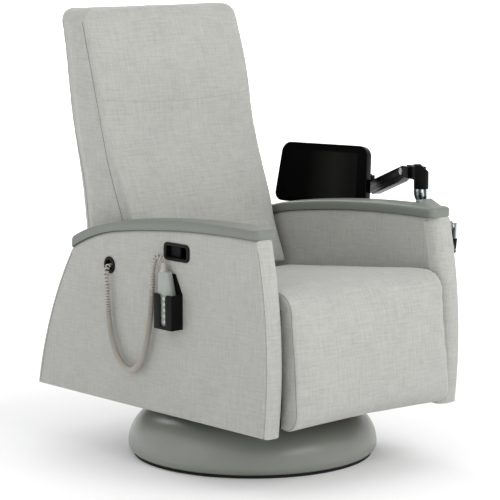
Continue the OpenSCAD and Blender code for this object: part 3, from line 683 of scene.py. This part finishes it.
def seam(name, body, laid, radius, ride=True):
    """A thin sunk seam line along points on a surface."""
    bm = bmesh.new()
    rings = []
    for i, (p, _) in enumerate(laid):
        along = (laid[min(i + 1, len(laid) - 1)][0] - laid[max(i - 1, 0)][0]).normalized()
        matrix = Matrix.Translation(p) @ along.to_track_quat("Z", "Y").to_matrix().to_4x4()
        made = bmesh.ops.create_circle(bm, segments=6, radius=radius, matrix=matrix)
        rings.append(made["verts"])
    for a, b in zip(rings, rings[1:]):
        edges = [e for ring in (a, b) for e in {e for v in ring for e in v.link_edges}
                 if e.verts[0] in ring and e.verts[1] in ring]
        bmesh.ops.bridge_loops(bm, edges=edges)
    for ring in (rings[0], rings[-1]):
        bm.faces.new(ring)
    bmesh.ops.recalc_face_normals(bm, faces=bm.faces)
    return piece(name, bm, "seam", body, ride=ride)


def flat_on(points, normal):
    """Points that already lie on a flat face, each with the face's normal."""
    return [(p, Vector(normal)) for p in points]


# Stitch centres are this many stitch lengths apart
STITCH_SPACING = 1.35


def topstitch(name, body, laid):
    """A row of short stitches lying on a surface."""
    stitch = settings().cover.stitch
    centres = even([p for p, _ in laid], stitch * STITCH_SPACING)
    bm = bmesh.new()
    j = 0
    for i in range(len(centres) - 1):
        while j < len(laid) - 2 and (laid[j + 1][0] - centres[i]).length < (laid[j][0] - centres[i]).length:
            j += 1
        along = (centres[i + 1] - centres[i]).normalized()
        normal = laid[j][1]
        side = normal.cross(along).normalized()
        turn = Matrix((along, side, normal)).transposed().to_4x4()
        bmesh.ops.create_icosphere(bm, subdivisions=1, radius=1,
                                   matrix=Matrix.Translation(centres[i] + normal * 0.0002) @ turn
                                   @ Matrix.Diagonal((stitch / 2, 0.00055, 0.0005, 1)))
    piece(name, bm, "thread", body, crease=180)


# ---- operators ----


class RECLINER_OT_stage(bpy.types.Operator):
    """Floor, soft studio light and the camera"""

    bl_idname = "recliner.stage"
    bl_label = "Stage"

    def execute(self, context):
        scene = context.scene
        scene.view_settings.view_transform = "Standard"
        bm = bmesh.new()
        bmesh.ops.create_grid(bm, x_segments=1, y_segments=1, size=40,
                              matrix=Matrix.Translation((0, 0, -FLOOR_GAP)))
        floor = placed("studio_floor", bm)
        floor.data.materials.append(finish("floor"))

        world = bpy.data.worlds.new("studio")
        scene.world = world
        world.use_nodes = True
        sky = world.node_tree.nodes["Background"]
        sky.inputs["Color"].default_value = (1, 1, 1, 1)
        sky.inputs["Strength"].default_value = 0.92

        for name, place, aim, size, power in (
            ("key", (0.3, -3.6, 2.9), (0, 0, 0.6), 2.4, 76),
            ("side", (-3.6, 0.4, 1.9), (0, 0, 0.5), 2.2, 9),
            ("rim", (1.2, 3.0, 2.6), (0, 0, 0.7), 2.0, 30),
        ):
            light = bpy.data.lights.new(name, "AREA")
            light.shape = "SQUARE"
            light.size = size
            light.energy = power
            lamp = bpy.data.objects.new(name, light)
            lamp.location = place
            lamp.rotation_euler = (Vector(aim) - Vector(place)).to_track_quat("-Z", "Y").to_euler()
            scene.collection.objects.link(lamp)

        turn, rise, away = math.radians(-41.72), math.radians(8.50), 6.1
        back = Vector((math.sin(turn) * math.cos(rise), -math.cos(turn) * math.cos(rise), math.sin(rise)))
        view = bpy.data.cameras.new("view")
        view.lens = 165.0
        view.sensor_width = 36
        view.shift_x, view.shift_y = -0.005, -0.0048
        view.clip_end = 200
        camera = bpy.data.objects.new("view", view)
        camera.location = Vector((0, 0, 0.55)) + back * away
        camera.rotation_euler = (-back).to_track_quat("-Z", "Y").to_euler()
        scene.collection.objects.link(camera)
        scene.camera = camera
        return {"FINISHED"}


# Route of the curly cord's centre line, from its gland to the handset's neck, in metres
FACE_X = -HALF_W
CORD_X = FACE_X - 0.018
CORD_ROUTE = [
    (FACE_X + 0.008, 0.181, 0.518), (FACE_X, 0.181, 0.518), (FACE_X - 0.007, 0.180, 0.515),
    (FACE_X - 0.014, 0.177, 0.507), (CORD_X, 0.174, 0.494), (CORD_X, 0.172, 0.468), (CORD_X, 0.171, 0.435),
    (CORD_X, 0.168, 0.397), (CORD_X, 0.162, 0.360), (CORD_X, 0.151, 0.323), (CORD_X, 0.132, 0.287),
    (CORD_X, 0.104, 0.263), (CORD_X, 0.072, 0.256), (CORD_X, 0.044, 0.271), (CORD_X, 0.022, 0.305),
    (CORD_X, 0.007, 0.348), (CORD_X, -0.003, 0.390), (CORD_X, -0.009, 0.430), (CORD_X, -0.013, 0.470),
    (CORD_X, -0.016, 0.503), (CORD_X, -0.018, 0.528), (CORD_X, -0.021, 0.546), (CORD_X, -0.028, 0.560),
    (CORD_X, -0.039, 0.567), (CORD_X, -0.051, 0.565),
]


# Points between two points of a route, and the spacing of the centre line's and the wire's points
SPAN_STEPS = 24
LINE_STEP = 0.0005
WIRE_STEP = 0.0028
# The coil is pulled open over these lengths from the gland and from the neck, and is this much thinner there
OPEN_AT_GLAND, OPEN_AT_NECK = 0.16, 0.15
THINNED = 0.26
# Over these lengths the wire runs from the centre line out to the coil
LEAD_IN, LEAD_OUT = 0.012, 0.010


def smooth_line(points, step):
    """Evenly spaced points on a smooth line through the given ones."""
    pts = [Vector(p) for p in points]
    pts = [2 * pts[0] - pts[1]] + pts + [2 * pts[-1] - pts[-2]]
    fine = []
    for a, b, c, d in zip(pts, pts[1:], pts[2:], pts[3:]):
        for k in range(SPAN_STEPS):
            t = k / SPAN_STEPS
            fine.append(0.5 * (2 * b + (c - a) * t + (2 * a - 5 * b + 4 * c - d) * t ** 2
                               + (3 * b - a - 3 * c + d) * t ** 3))
    fine.append(pts[-2])
    return even(fine, step)


class RECLINER_OT_cord(bpy.types.Operator):
    """Curly cord from the panel's grommet to the handset"""

    bl_idname = "recliner.cord"
    bl_label = "Handset cord"

    def execute(self, context):
        cord = settings().cord
        neck_low, neck_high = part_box("handset_neck")
        neck = ((neck_low.x + neck_high.x) / 2, (neck_low.y + neck_high.y) / 2 + 0.001, neck_high.z)
        line = smooth_line(CORD_ROUTE + [neck], LINE_STEP)
        total = LINE_STEP * (len(line) - 1)
        radius = (cord.coil - cord.wire) / 2
        along = (line[1] - line[0]).normalized()
        across = along.orthogonal().normalized()
        angle, helix = 0.0, []
        for i in range(1, len(line)):
            s = LINE_STEP * i
            heading = (line[i] - line[i - 1]).normalized()
            across = (across - heading * across.dot(heading)).normalized()
            other = heading.cross(across)
            from_start, from_end = s / OPEN_AT_GLAND, (total - s) / OPEN_AT_NECK
            open_share = max(0.0, 1 - from_start) ** 1.2 + max(0.0, 1 - from_end) ** 1.1
            pitch = cord.pitch + (cord.spread - cord.pitch) * min(1.0, open_share)
            angle += 2 * math.pi * LINE_STEP / pitch
            ease = min(1.0, s / LEAD_IN, (total - s) / LEAD_OUT) * (1 - THINNED * min(1.0, open_share))
            outward = across * math.cos(angle) + other * math.sin(angle)
            helix.append(line[i] + outward * radius * max(0.0, ease))
        path, last = [helix[0]], 0.0
        for a, b in zip(helix, helix[1:]):
            last += (b - a).length
            if last > WIRE_STEP:
                path.append(b)
                last = 0.0
        curve = bpy.data.curves.new("handset_cord_coil", "CURVE")
        curve.dimensions = "3D"
        curve.bevel_depth = cord.wire / 2
        curve.bevel_resolution = 2
        curve.use_fill_caps = True
        spline = curve.splines.new("POLY")
        spline.points.add(len(path) - 1)
        for point, p in zip(spline.points, path):
            point.co = (*p, 1)
        soft = bpy.data.objects.new("coil", curve)
        mesh = bpy.data.meshes.new_from_object(soft)
        mesh.name = "handset_cord_coil"
        bpy.data.objects.remove(soft)
        mesh.shade_smooth()
        mesh.materials.clear()
        mesh.materials.append(finish("cord"))
        coil = bpy.data.objects.new("handset_cord_coil", mesh)
        context.scene.collection.objects.link(coil)
        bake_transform(coil)
        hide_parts("handset_cord")
        return {"FINISHED"}


EDGE_STEPS, ARCH_STEPS = 24, 40


def panel_outline():
    """Side outline of a panel as (y, z) points: up the front, along the arch and down the rear."""
    front_top, rear_top = top_of(front_edge), top_of(rear_edge)
    heights = [SKIRT_Z + (front_top - SKIRT_Z) * i / EDGE_STEPS for i in range(EDGE_STEPS + 1)]
    points = [(front_edge(z), z) for z in heights]
    y0, y1 = points[-1][0], rear_edge(rear_top)
    along = [y0 + (y1 - y0) * i / ARCH_STEPS for i in range(1, ARCH_STEPS)]
    points += [(y, arch_top(y)) for y in along]
    heights = [rear_top + (SKIRT_Z - rear_top) * i / EDGE_STEPS for i in range(EDGE_STEPS + 1)]
    points += [(rear_edge(z), z) for z in heights]
    return points


# Across a panel's front edge: its slices, its crown and the rounding of its inner edge
FRONT_SLICES = 16
FRONT_CROWN = 0.005
FRONT_ROUND = 0.034
PANEL_SEAM_STEP = 0.012


def crown_front(bm):
    """Crowns a panel's flat front edge and rounds it toward the seat."""
    for v in bm.verts:
        if v.co.y - front_edge(v.co.z) < 0.0015:
            across = abs(v.co.x) - HALF_IN
            crown = FRONT_CROWN * (1 - (2 * across / (HALF_W - HALF_IN) - 1) ** 2)
            inward = max(0.0, FRONT_ROUND - across)
            v.co.y += FRONT_ROUND - math.sqrt(max(0.0, FRONT_ROUND ** 2 - inward ** 2)) - crown


def cut_openings(panel):
    """Cuts the panel cover for the release housing and the cord's grommet."""
    lip = 0.0052
    low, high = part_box("release_housing")
    hole = bmesh.new()
    add_box(hole, (low.x - 0.002, low.y + lip, low.z + lip), (high.x + 0.001, high.y - lip, high.z - lip))
    round_edges(hole, [e for e in hole.edges if spans(e, 0) > 1e-3], 0.008, 4)
    cut(panel, hole)
    lip = 0.0031
    low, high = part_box("cord_grommet")
    middle = (low + high) / 2
    hole = bmesh.new()
    add_rod(hole, (low.x - 0.002, middle.y, middle.z), (low.x + 0.03, middle.y, middle.z),
            (high.z - low.z) / 2 - lip, sides=40)
    cut(panel, hole)
    lay_weave(panel.data)


class RECLINER_OT_panels(bpy.types.Operator):
    """Upholstered side panels with their seams"""

    bl_idname = "recliner.panels"
    bl_label = "Side panels"

    def execute(self, context):
        edge = settings().trim.edge
        outline = panel_outline()
        front = outline[:EDGE_STEPS]
        rear = outline[-EDGE_STEPS:]
        for side, way in SIDES:
            bm = bmesh.new()
            add_outline(bm, outline, way * HALF_IN, way * HALF_W)
            rims = rims_of(bm)
            fore = [e for e in rims if max(v.co.y - front_edge(v.co.z) for v in e.verts) < 0.001]
            round_edges(bm, [e for e in rims if e not in fore], edge, 4)
            for i in range(1, FRONT_SLICES):
                at = HALF_IN + (HALF_W - HALF_IN) * i / FRONT_SLICES
                slice_at(bm, (way * at, 0, 0), (1, 0, 0))
            crown_front(bm)
            panel = piece(f"panel_cover_{side}", bm, "cover", "chair", (f"side_panel_{side}",))
            if way < 0:
                cut_openings(panel)
            outward, x = (way, 0, 0), way * HALF_W
            line = even([Vector((x - way * 0.0008, y + 0.0008, z)) for y, z in front], PANEL_SEAM_STEP)
            seam(f"front_seam_{side}", "chair", flat_on(line, outward), 0.0011)
            line = even([Vector((x, y - 0.0135, z)) for y, z in rear], PANEL_SEAM_STEP)
            seam(f"rear_seam_{side}", "chair", flat_on(line, outward), 0.0008)
            row = [Vector((x, y - 0.020, z)) for y, z in rear]
            topstitch(f"rear_stitches_{side}", "chair", flat_on(row, outward))
            row = [Vector((x, y + 0.0085, z)) for y, z in front]
            topstitch(f"front_stitches_{side}", "chair", flat_on(row, outward))
        return {"FINISHED"}


CAP_THICK = 0.025
CAP_SLICES = 64


class RECLINER_OT_arm_caps(bpy.types.Operator):
    """Moulded arm caps that follow the arch"""

    bl_idname = "recliner.arm_caps"
    bl_label = "Arm caps"

    def execute(self, context):
        rounding = settings().trim.cap_round
        for side, _ in SIDES:
            low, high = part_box(f"arm_cap_{side}")
            bm = bmesh.new()
            add_box(bm, (low.x, low.y, 0), (high.x, high.y, CAP_THICK))
            round_edges(bm, [e for e in bm.edges if spans(e, 2) > CAP_THICK / 2], 0.020, 7)
            rim = [e for e in bm.edges if min(v.co.z for v in e.verts) > CAP_THICK - 1e-5]
            round_edges(bm, rim, rounding, 5)
            rim = [e for e in bm.edges if max(v.co.z for v in e.verts) < 1e-5]
            round_edges(bm, rim, 0.003, 2)
            for i in range(1, CAP_SLICES):
                slice_at(bm, (0, low.y + (high.y - low.y) * i / CAP_SLICES, 0), (0, 1, 0))
            for v in bm.verts:
                slope = math.atan((arch_top(v.co.y + 0.002) - arch_top(v.co.y - 0.002)) / 0.004)
                v.co.z = arch_top(v.co.y) + v.co.z / math.cos(slope)
            piece(f"cap_moulding_{side}", bm, "cap", "chair", (f"arm_cap_{side}",))
        dress("zinc", "cap_bolts")
        return {"FINISHED"}


KNEE_Y, KNEE_Z = joints["legrest_lift"]["pos_m"][1:]
NOSE_R = 0.060
SEAT_SLOPE = math.radians(5.9)
SEAT_THICK = 0.098
FOOT_R = 0.052
# A padded cover's shape starts this far inside the foam's face, and the padding swells it out
TIGHT = 0.004
COVER_ROUND = 0.006
COVER_SEAM_STEP = 0.010
COVER_SEAM_R = 0.0009


def arc(y, z, radius, start, end, steps):
    """Side-view points along an arc, from one angle to another in degrees."""
    angles = [math.radians(start + (end - start) * k / steps) for k in range(steps + 1)]
    return [(y + radius * math.cos(a), z + radius * math.sin(a)) for a in angles]


def seat_top(y):
    return KNEE_Z + NOSE_R - (y - KNEE_Y) * math.tan(SEAT_SLOPE)


class RECLINER_OT_seat(bpy.types.Operator):
    """Seat, rolled knee edge and legrest under one cover"""

    bl_idname = "recliner.seat"
    bl_label = "Seat and legrest cover"

    def execute(self, context):
        pad_low, pad_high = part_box("legrest_pad")
        seat_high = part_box("seat_cushion")[1]
        rear, face = seat_high.y - 0.002, pad_low.y
        behind_knee = pad_high.y if pad_high.y < KNEE_Y - 0.004 else KNEE_Y - 0.005
        points = [(rear, seat_top(rear) - SEAT_THICK), (KNEE_Y + 0.012, seat_top(KNEE_Y) - SEAT_THICK),
                  (KNEE_Y - 0.004, KNEE_Z - 0.058), (behind_knee, pad_low.z + 0.008)]
        points += arc(face + FOOT_R, pad_low.z + FOOT_R, FOOT_R - TIGHT, -90, -180, 8)
        points += [(face + TIGHT, KNEE_Z - 0.23), (KNEE_Y - NOSE_R - 0.013 + TIGHT, KNEE_Z - 0.124),
                   (KNEE_Y - NOSE_R - 0.003 + TIGHT, KNEE_Z - 0.04)]
        points += arc(KNEE_Y, KNEE_Z, NOSE_R - TIGHT, 180, 90, 9)
        points.append((rear, seat_top(rear) - TIGHT))
        half = seat_high.x + 0.0015
        bm = bmesh.new()
        add_outline(bm, points, -half, half)
        round_edges(bm, rims_of(bm), COVER_ROUND, 3)
        cover = piece("seat_cover", bm, "cover", "chair", ("seat_cushion", "knee_roll", "legrest_pad"),
                      ride=False)
        pad_out(cover)
        fit_cover(cover, lambda co: HALF_IN - 0.0006)
        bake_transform(cover)
        core = Vector((0, -0.25, 0.34))
        for side, way in SIDES:
            line = even([Vector((way * (HALF_IN - 0.003), y, z)) for y, z in points[4:]], COVER_SEAM_STEP)

            def toward(i, line=line, way=way):
                """Into the cover at a point of the line, square to the line."""
                a, b = line[max(i - 1, 0)], line[min(i + 1, len(line) - 1)]
                along = (b - a).normalized()
                down = Vector((0, -along.z, along.y))
                if down.dot(core - Vector((0, line[i].y, line[i].z))) < 0:
                    down = -down
                return Vector((-way * 0.55, 0, 0)) + down * 0.8

            laid = laid_on(cover, line, toward)
            boxing = seam(f"seat_seam_{side}", "chair", laid, COVER_SEAM_R, ride=False)
            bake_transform(boxing)
        dress("plywood", "seat_deck")
        return {"FINISHED"}


# Front outline of the backrest, from its foot to its top edge
BACK_FRONT = [(0.172, 0.560), (0.207, 0.650), (0.238, 0.722), (0.262, 0.782), (0.300, 0.915), (0.338, 1.048),
              (0.367, 1.150)]
# Half-width of the head section, the gap to the arms below it, and the heights between which the width changes
HEAD_HALF = 0.281
ARM_GAP = 0.0075
NARROW_Z, WIDE_Z = 0.66, 0.93
SHOULDER_R = 0.045


def back_half(co, top):
    """Half-width of the backrest at a point: narrow between the arms, and rounded at the shoulders."""
    share = min(1.0, max(0.0, (co.z - NARROW_Z) / (WIDE_Z - NARROW_Z)))
    share = share * share * (3 - 2 * share)
    corner = min(1.0, max(0.0, co.z - (top - 0.036)) / SHOULDER_R)
    shoulder = SHOULDER_R * (1 - math.sqrt(1 - corner ** 2))
    narrow = HALF_IN - ARM_GAP
    return narrow + (HEAD_HALF - narrow) * share - shoulder


def swell_front(cover):
    """Brings the backrest's front forward at the head and at the waist, and leaves its rear where it is."""
    for v in cover.data.vertices:
        fore = min(1.0, max(0.0, 1 - (v.co.y - 0.172 - (v.co.z - 0.56) * 0.33) / 0.09))
        head = max(0.0, 1 - ((v.co.z - 1.02) / 0.12) ** 2)
        waist = max(0.0, 1 - ((v.co.z - 0.72) / 0.13) ** 2)
        v.co.y -= fore * (0.010 * head + 0.014 * waist)
    cover.data.update()


class RECLINER_OT_backrest(bpy.types.Operator):
    """Padded backrest with its boxing seams and head seam"""

    bl_idname = "recliner.backrest"
    bl_label = "Backrest cover"

    def execute(self, context):
        low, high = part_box("back_pad")
        shell_low, shell_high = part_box("back_shell")
        front = [(y + TIGHT, z) for y, z in [(low.y, low.z + 0.002)] + BACK_FRONT]
        top = high.z - TIGHT
        points = front + [(0.372 + TIGHT, top - 0.008), (0.380 + TIGHT, top), (0.462, top),
                          (0.478, top - 0.008), (shell_high.y - 0.003, top - 0.02),
                          (shell_low.y + 0.013, low.z + 0.002)]
        half = high.x + 0.002
        bm = bmesh.new()
        add_outline(bm, points, -half, half)
        round_edges(bm, rims_of(bm), COVER_ROUND, 3)
        cover = piece("back_cover", bm, "cover", "back", ("back_pad", "back_shell"))
        pad_out(cover)
        fit_cover(cover, lambda co: back_half(co, high.z), high.z + 0.007)
        swell_front(cover)
        for side, way in SIDES:
            line = [Vector((way * (HEAD_HALF - 0.004), y, z)) for y, z in front]
            line = even(line, COVER_SEAM_STEP)
            laid = laid_on(cover, line, (-way * 0.55, 0.83, 0.0))
            seam(f"back_seam_{side}", "back", laid, COVER_SEAM_R)
            stitched = laid_on(cover, [p + Vector((-way * 0.010, 0, 0)) for p in line], (0, 1, -0.2))
            topstitch(f"back_front_stitches_{side}", "back", stitched)
            stitched = laid_on(cover, [p + Vector((0, 0.016, 0)) for p in line], (-way, 0, 0))
            topstitch(f"back_side_stitches_{side}", "back", stitched)
            rear = [Vector((way * HEAD_HALF, y, z)) for y, z in reversed(points[-2:])]
            laid = laid_on(cover, even(rear, COVER_SEAM_STEP), (-way * 0.75, -0.65, 0.0))
            seam(f"back_rear_seam_{side}", "back", laid, COVER_SEAM_R)
        head = [Vector((x / 100, 0.2, 0.937 - 0.012 * (1 - (x / 25) ** 2))) for x in range(-25, 26)]
        seam("head_seam", "back", laid_on(cover, head, (0, 1, 0), -0.0002), 0.00035)
        softened("back_frame", "dark_steel", 0.0012)
        return {"FINISHED"}


class RECLINER_OT_base(bpy.types.Operator):
    """Painted base dome, floor ring, bearing and hub"""

    bl_idname = "recliner.base"
    bl_label = "Swivel base"

    def execute(self, context):
        dress("dome", "base_dome")
        dress("rubber", "glide_ring")
        dress("dark_steel", "floor_plate", "pedestal", "swivel_hub")
        dress("zinc", "pedestal_bolts", "lower_race", "bearing_balls", "upper_race")
        softened("swivel_plate", "dark_steel", 0.002)
        return {"FINISHED"}


class RECLINER_OT_chassis(bpy.types.Operator):
    """Frame, hinge plates, actuators and the rear apron"""

    bl_idname = "recliner.chassis"
    bl_label = "Chassis"

    def execute(self, context):
        for node in ("seat_frame", "hinge_plates", "legrest_frame"):
            softened(node, "dark_steel", 0.0012)
        for node in ("legrest_motor", "recline_motor", "control_box"):
            softened(node, "black_plastic", 0.002)
        dress("zinc", "legrest_rod", "recline_rod", "knee_pins", "recline_pins")
        low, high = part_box("rear_apron")
        bm = bmesh.new()
        add_box(bm, low, high)
        round_edges(bm, bm.edges, 0.004, 3)
        piece("apron_cover", bm, "cover", "chair", ("rear_apron",))
        for level in (low.z + 0.012, high.z - 0.012):
            row = [Vector((x, high.y, level)) for x in (low.x + 0.01, high.x - 0.01)]
            topstitch(f"apron_stitches_{int(level * 1000)}", "chair", flat_on(row, (0, 1, 0)))
        return {"FINISHED"}


HANDSET_L = 0.142
HANDSET_HALF_W = 0.026
HANDSET_HALF_D = 0.0125
TAPER_FROM = 0.085
TAPER = 0.016


class RECLINER_OT_handset(bpy.types.Operator):
    """Handset with its buttons, neck, pocket and grommet"""

    bl_idname = "recliner.handset"
    bl_label = "Handset and pocket"

    def execute(self, context):
        axis = Vector(joints["handset_lift"]["axis"]).normalized()
        low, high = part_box("handset")
        foot = Vector(((low.x + high.x) / 2, low.y + 0.0257, low.z + 0.0009))
        turn = Matrix.Translation(foot) @ Matrix.Rotation(-math.asin(axis.y), 4, "X")
        bm = bmesh.new()
        add_box(bm, (-HANDSET_HALF_D, -HANDSET_HALF_W, 0.0), (HANDSET_HALF_D, HANDSET_HALF_W, HANDSET_L))
        slice_at(bm, (0, 0, TAPER_FROM), (0, 0, 1), 1e-6)
        for v in bm.verts:
            rise = max(0.0, (v.co.z - TAPER_FROM) / (HANDSET_L - TAPER_FROM))
            v.co.y += TAPER * rise if v.co.y < 0 else 0
            v.co.x = HANDSET_HALF_D + (v.co.x - HANDSET_HALF_D) * (1 - 0.18 * rise)
        round_edges(bm, sharp(bm, 50), 0.0055, 4)
        bmesh.ops.transform(bm, matrix=turn, verts=bm.verts)
        shell = piece("handset_shell", bm, "handset", "handset", ("handset",), crease=60)
        for i in range(5):
            blow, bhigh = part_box(f"button_{i + 1}")
            middle = (blow + bhigh) / 2
            hole = bmesh.new()
            add_rod(hole, (blow.x - 0.003, middle.y, middle.z), (bhigh.x + 0.0018, middle.y, middle.z),
                    0.0052, sides=28)
            cut(shell, hole)
            softened(f"button_{i + 1}", "buttons", 0.0007)
        bm = bmesh.new()
        profile = [(0.0, -0.002), (0.0090, -0.002), (0.0090, 0.003)]
        for k in range(5):
            z = 0.004 + 0.0034 * k
            r = 0.0086 - 0.0003 * k
            profile += [(r, z), (r, z + 0.0018), (r - 0.0009, z + 0.0021), (r - 0.0009, z + 0.0031)]
        profile += [(0.0062, 0.0215), (0.0, 0.022)]
        add_turned(bm, profile, (0, 0, 0), 32)
        bmesh.ops.transform(bm, matrix=turn @ Matrix.Translation((0.002, 0.012, HANDSET_L)), verts=bm.verts)
        piece("neck_relief", bm, "cord", "handset", ("handset_neck",))
        softened("handset_pocket", "black_plastic", 0.0012, 3)
        dress("zinc", "pocket_screws")
        softened("cord_grommet", "black_plastic", 0.0014, 3)
        dress("rubber", "cord_gland")
        return {"FINISHED"}


class RECLINER_OT_release(bpy.types.Operator):
    """Recessed recline release with its paddle"""

    bl_idname = "recliner.release"
    bl_label = "Recline release"

    def execute(self, context):
        softened("release_housing", "black_plastic", 0.0012, 3)
        softened("release_paddle", "soft_black", 0.0018, 3)
        return {"FINISHED"}


def joint_frame(name):
    """Frame at a joint: local X along the axis, Z up."""
    joint = joints[name]
    x = Vector(joint["axis"]).normalized()
    z = Vector((0, 0, 1))
    y = z.cross(x).normalized()
    return Matrix.Translation(joint["pos_m"]) @ Matrix((x, y, z)).transposed().to_4x4()


class RECLINER_OT_monitor_arm(bpy.types.Operator):
    """Jointed arm: bracket, chrome socket, barrel, beam and link"""

    bl_idname = "recliner.monitor_arm"
    bl_label = "Monitor arm"

    def execute(self, context):
        softened("monitor_bracket", "bracket", 0.004, 3)
        dress("zinc", "bracket_screws")
        low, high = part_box("post_socket")
        middle = (low + high) / 2
        bm = bmesh.new()
        rise = high.z - low.z
        profile = [(0.0, 0.0), (0.011, 0.0), (0.0128, 0.0012), (0.0150, 0.004), (0.0174, 0.009),
                   (0.0190, 0.0145), (0.0197, 0.020), (0.0200, 0.026), (0.0196, rise - 0.0006),
                   (0.0190, rise), (0.0, rise)]
        add_turned(bm, profile, (middle.x, middle.y, low.z), 64)
        piece("chrome_socket", bm, "chrome", "chair", ("post_socket",))
        softened("arm_fork", "arm_black", 0.0028, 3)
        bm = bmesh.new()
        pin = joint_frame("arm_lift")
        for way in (-1, 1):
            profile = [(0.0, 0.0), (0.0098, 0.0), (0.0098, 0.0022), (0.0086, 0.0030), (0.0062, 0.0030),
                       (0.0056, 0.0018), (0.0, 0.0018)]
            ring = bmesh.new()
            add_turned(ring, profile, (0, 0, 0), 40)
            bmesh.ops.transform(ring, verts=ring.verts,
                                matrix=pin @ Matrix.Rotation(way * math.pi / 2, 4, "Y")
                                @ Matrix.Translation((0, 0, 0.0212)))
            mesh = bpy.data.meshes.new("ring")
            ring.to_mesh(mesh)
            ring.free()
            bm.from_mesh(mesh)
            bpy.data.meshes.remove(mesh)
        add_rod(bm, pin @ Vector((-0.0205, 0, 0)), pin @ Vector((0.0205, 0, 0)), 0.005)
        piece("lift_pin_caps", bm, "zinc", "arm_fork", ("lift_pin",))
        for node in ("arm_beam", "level_block", "head_link"):
            softened(node, "arm_black", 0.0024, 3)
        low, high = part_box("clamp_lever")
        softened("clamp_lever", "chrome", 0.0022, 3)
        bm = bmesh.new()
        tip = add_box(bm, (low.x + 0.036, low.y + 0.0035, low.z),
                      (high.x + 0.0012, high.y - 0.0035, low.z + 0.040))
        for v in tip:
            if v.co.z < low.z + 0.01:
                v.co.y = (low.y + high.y) / 2 + (v.co.y - (low.y + high.y) / 2) * 0.55
                v.co.x = high.x - 0.005 + (v.co.x - high.x + 0.005) * 0.7
        round_edges(bm, bm.edges, 0.0025, 3)
        piece("clamp_grip", bm, "black_plastic", "clamp_lever")
        return {"FINISHED"}


PICTURE_W, PICTURE_H = 0.222, 0.134
SCREEN_LEAN = math.radians(11)


class RECLINER_OT_monitor(bpy.types.Operator):
    """Glossy monitor with its glass front and dark picture area"""

    bl_idname = "recliner.monitor"
    bl_label = "Monitor"

    def execute(self, context):
        softened("tilt_knuckle", "arm_black", 0.003, 3)
        case = softened("monitor_case", "monitor", 0.0065, 5)
        glass = softened("monitor_glass", "screen", 0.0012, 2)
        along = Vector(joints["monitor_tilt"]["axis"]).normalized()
        level = Vector((along.y, -along.x, 0))
        normal = -(level * math.cos(SCREEN_LEAN) - Vector((0, 0, 1)) * math.sin(SCREEN_LEAN))
        up = normal.cross(along).normalized()
        up = -up if up.z < 0 else up
        right = up.cross(normal).normalized()
        reach = max(v.co.dot(normal) for v in glass.data.vertices)
        centre = sum((v.co for v in glass.data.vertices), Vector()) / len(glass.data.vertices)
        centre += normal * (reach - centre.dot(normal) + 0.0002)
        bm = bmesh.new()
        bmesh.ops.create_grid(bm, x_segments=1, y_segments=1, size=0.5)
        bmesh.ops.scale(bm, vec=(PICTURE_W, PICTURE_H, 1), verts=bm.verts)
        turn = Matrix((right, up, normal)).transposed().to_4x4()
        bmesh.ops.transform(bm, matrix=Matrix.Translation(centre - up * 0.004) @ turn, verts=bm.verts)
        display = piece("picture_area", bm, "display", "monitor")
        layer = display.data.uv_layers.new(name="picture")
        for loop in display.data.loops:
            offset = display.data.vertices[loop.vertex_index].co - centre
            across, rise = offset.dot(right) / PICTURE_W, offset.dot(up) / PICTURE_H
            layer.data[loop.index].uv = (across + 0.5, rise + 0.5)
        for shell in (case, glass, display):
            for v in shell.data.vertices:
                offset = v.co - centre
                across, rise = offset.dot(right) / 0.14, offset.dot(up) / 0.084
                v.co += right * (-0.006 * across * rise) + up * (0.003 * max(0.0, rise) * (1 - across ** 2))
            shell.data.update()
        return {"FINISHED"}


class RECLINER_PT_panel(bpy.types.Panel):
    """Lists the recliner's operators and settings"""

    bl_label = "Patient Recliner"
    bl_idname = "RECLINER_PT_panel"
    bl_space_type = "VIEW_3D"
    bl_region_type = "UI"
    bl_category = "Recliner"

    def draw(self, context):
        layout = self.layout
        for operator in OPERATORS:
            layout.operator(operator.bl_idname)
        for group in (settings().cover, settings().trim, settings().cord):
            column = layout.column()
            for name in group.__annotations__:
                column.prop(group, name)


GROUPS = (ReclinerCover, ReclinerTrim, ReclinerCord, ReclinerSettings)
OPERATORS = (RECLINER_OT_stage, RECLINER_OT_cord, RECLINER_OT_base, RECLINER_OT_chassis, RECLINER_OT_panels,
             RECLINER_OT_arm_caps, RECLINER_OT_seat, RECLINER_OT_backrest, RECLINER_OT_handset,
             RECLINER_OT_release, RECLINER_OT_monitor_arm, RECLINER_OT_monitor)
CLASSES = (*GROUPS, *OPERATORS, RECLINER_PT_panel)


def register():
    for cls in CLASSES:
        bpy.utils.register_class(cls)
    bpy.types.Scene.recliner = bpy.props.PointerProperty(type=ReclinerSettings)


def unregister():
    del bpy.types.Scene.recliner
    for cls in reversed(CLASSES):
        bpy.utils.unregister_class(cls)


def main():
    register()
    for operator in OPERATORS:
        getattr(bpy.ops.recliner, operator.bl_idname.split(".")[1])()


if __name__ == "__main__":
    main()
